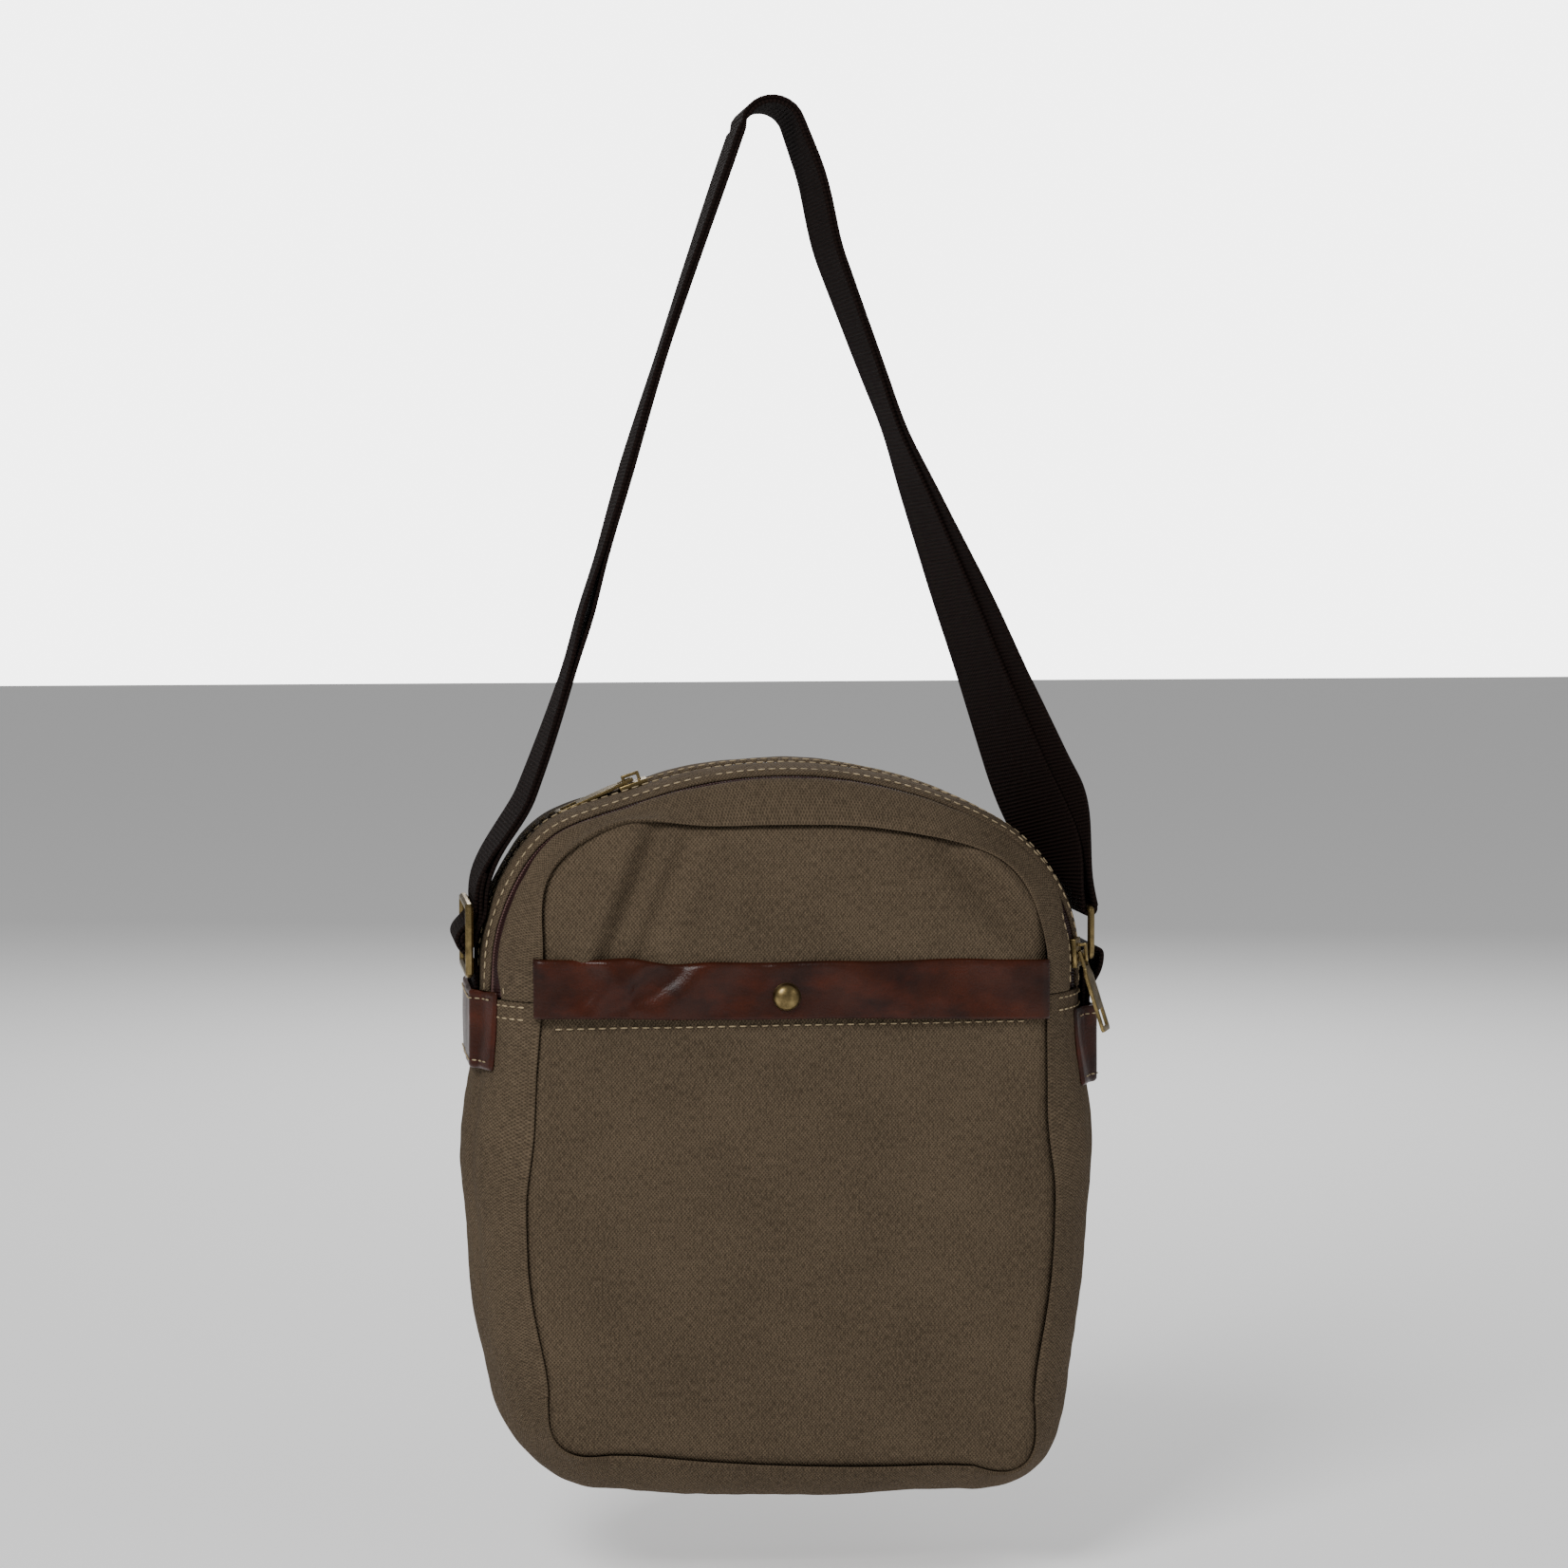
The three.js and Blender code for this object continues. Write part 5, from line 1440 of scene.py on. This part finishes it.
# ---- add-on ----
class MessengerBagSettings(bpy.types.PropertyGroup):
    canvas_colour: bpy.props.FloatVectorProperty(
        name="Canvas", description="Base colour of the washed canvas", subtype="COLOR",
        default=(0.100, 0.073, 0.047), min=0, max=1)
    leather_colour: bpy.props.FloatVectorProperty(
        name="Leather", description="Base colour of the leather trim", subtype="COLOR",
        default=(0.040, 0.0098, 0.0042), min=0, max=1)
    strap_colour: bpy.props.FloatVectorProperty(
        name="Strap", description="Base colour of the webbing", subtype="COLOR",
        default=(0.0125, 0.0068, 0.0055), min=0, max=1)
    tape_colour: bpy.props.FloatVectorProperty(
        name="Zip tape", description="Base colour of the zip tapes", subtype="COLOR",
        default=(0.022, 0.006, 0.0055), min=0, max=1)
    thread_colour: bpy.props.FloatVectorProperty(
        name="Thread", description="Base colour of the top stitching", subtype="COLOR",
        default=(0.42, 0.325, 0.19), min=0, max=1)
    brass_colour: bpy.props.FloatVectorProperty(
        name="Brass", description="Base colour of the metal", subtype="COLOR",
        default=(0.30, 0.22, 0.095), min=0, max=1)
    wrinkle_depth: bpy.props.FloatProperty(
        name="Wrinkles", description="Depth of the folds in the front, in millimetres", default=3.1,
        min=0, max=5)
    fold_depth: bpy.props.FloatProperty(
        name="Side folds", description="Depth of the folds in the sides, in millimetres", default=1.6,
        min=0, max=5)
    left_turn: bpy.props.FloatProperty(
        name="Left turn", description="Widest turn of the left leg of the strap, in degrees",
        default=4, min=-60, max=60)
    right_turn: bpy.props.FloatProperty(
        name="Right turn", description="Widest turn of the right leg of the strap, in degrees",
        default=-31, min=-60, max=60)
    view_turn: bpy.props.FloatProperty(
        name="View turn", description="Camera's turn round the bag", subtype="ANGLE",
        default=math.radians(-8))
    view_rise: bpy.props.FloatProperty(
        name="View rise", description="Camera's height above level", subtype="ANGLE",
        default=math.radians(4))


class MESSENGER_BAG_OT_gusset(bpy.types.Operator):
    """Build the canvas bands over the top and round the bottom"""
    bl_idname = "messenger_bag.gusset"
    bl_label = "Gusset"
    bl_options = {"REGISTER", "UNDO"}

    def execute(self, context):
        build_gusset()
        return {"FINISHED"}


class MESSENGER_BAG_OT_panels(bpy.types.Operator):
    """Build the front, pocket, back and inner panels"""
    bl_idname = "messenger_bag.panels"
    bl_label = "Panels"
    bl_options = {"REGISTER", "UNDO"}

    def execute(self, context):
        build_panels()
        return {"FINISHED"}


class MESSENGER_BAG_OT_leather(bpy.types.Operator):
    """Build the leather binding and both tabs"""
    bl_idname = "messenger_bag.leather"
    bl_label = "Leather"
    bl_options = {"REGISTER", "UNDO"}

    def execute(self, context):
        build_leather()
        return {"FINISHED"}


class MESSENGER_BAG_OT_zips(bpy.types.Operator):
    """Build the zip coils and tapes"""
    bl_idname = "messenger_bag.zips"
    bl_label = "Zips"
    bl_options = {"REGISTER", "UNDO"}

    def execute(self, context):
        build_zips()
        return {"FINISHED"}


class MESSENGER_BAG_OT_fittings(bpy.types.Operator):
    """Build the snap, zip sliders, pullers, ring and slider"""
    bl_idname = "messenger_bag.fittings"
    bl_label = "Metal fittings"
    bl_options = {"REGISTER", "UNDO"}

    def execute(self, context):
        build_fittings()
        return {"FINISHED"}


class MESSENGER_BAG_OT_strap(bpy.types.Operator):
    """Build the long webbing and the ring's loop"""
    bl_idname = "messenger_bag.strap"
    bl_label = "Strap"
    bl_options = {"REGISTER", "UNDO"}

    def execute(self, context):
        build_strap()
        return {"FINISHED"}


class MESSENGER_BAG_OT_stitching(bpy.types.Operator):
    """Sew the visible rows of stitches"""
    bl_idname = "messenger_bag.stitching"
    bl_label = "Stitching"
    bl_options = {"REGISTER", "UNDO"}

    def execute(self, context):
        build_stitching()
        return {"FINISHED"}


class MESSENGER_BAG_OT_stage(bpy.types.Operator):
    """Set the floor, the lights and the camera"""
    bl_idname = "messenger_bag.stage"
    bl_label = "Stage"
    bl_options = {"REGISTER", "UNDO"}

    def execute(self, context):
        build_stage()
        return {"FINISHED"}


STEPS = [
    MESSENGER_BAG_OT_gusset,
    MESSENGER_BAG_OT_panels,
    MESSENGER_BAG_OT_leather,
    MESSENGER_BAG_OT_zips,
    MESSENGER_BAG_OT_fittings,
    MESSENGER_BAG_OT_strap,
    MESSENGER_BAG_OT_stitching,
    MESSENGER_BAG_OT_stage,
]


class MESSENGER_BAG_PT_panel(bpy.types.Panel):
    """Sizes, colours and building steps of the bag"""
    bl_label = "Messenger bag"
    bl_idname = "MESSENGER_BAG_PT_panel"
    bl_space_type = "VIEW_3D"
    bl_region_type = "UI"
    bl_category = "Bag"

    def draw(self, context):
        for key in MessengerBagSettings.__annotations__:
            self.layout.prop(context.scene.messenger_bag, key)
        for operator in STEPS:
            self.layout.operator(operator.bl_idname)


CLASSES = [MessengerBagSettings, *STEPS, MESSENGER_BAG_PT_panel]


def register():
    for each in CLASSES:
        bpy.utils.register_class(each)
    bpy.types.Scene.messenger_bag = bpy.props.PointerProperty(type=MessengerBagSettings)


def unregister():
    del bpy.types.Scene.messenger_bag
    for each in reversed(CLASSES):
        bpy.utils.unregister_class(each)


def main():
    """Builds every step in order."""
    register()
    for operator in STEPS:
        area, name = operator.bl_idname.split(".")
        getattr(getattr(bpy.ops, area), name)()


if __name__ == "__main__":
    main()
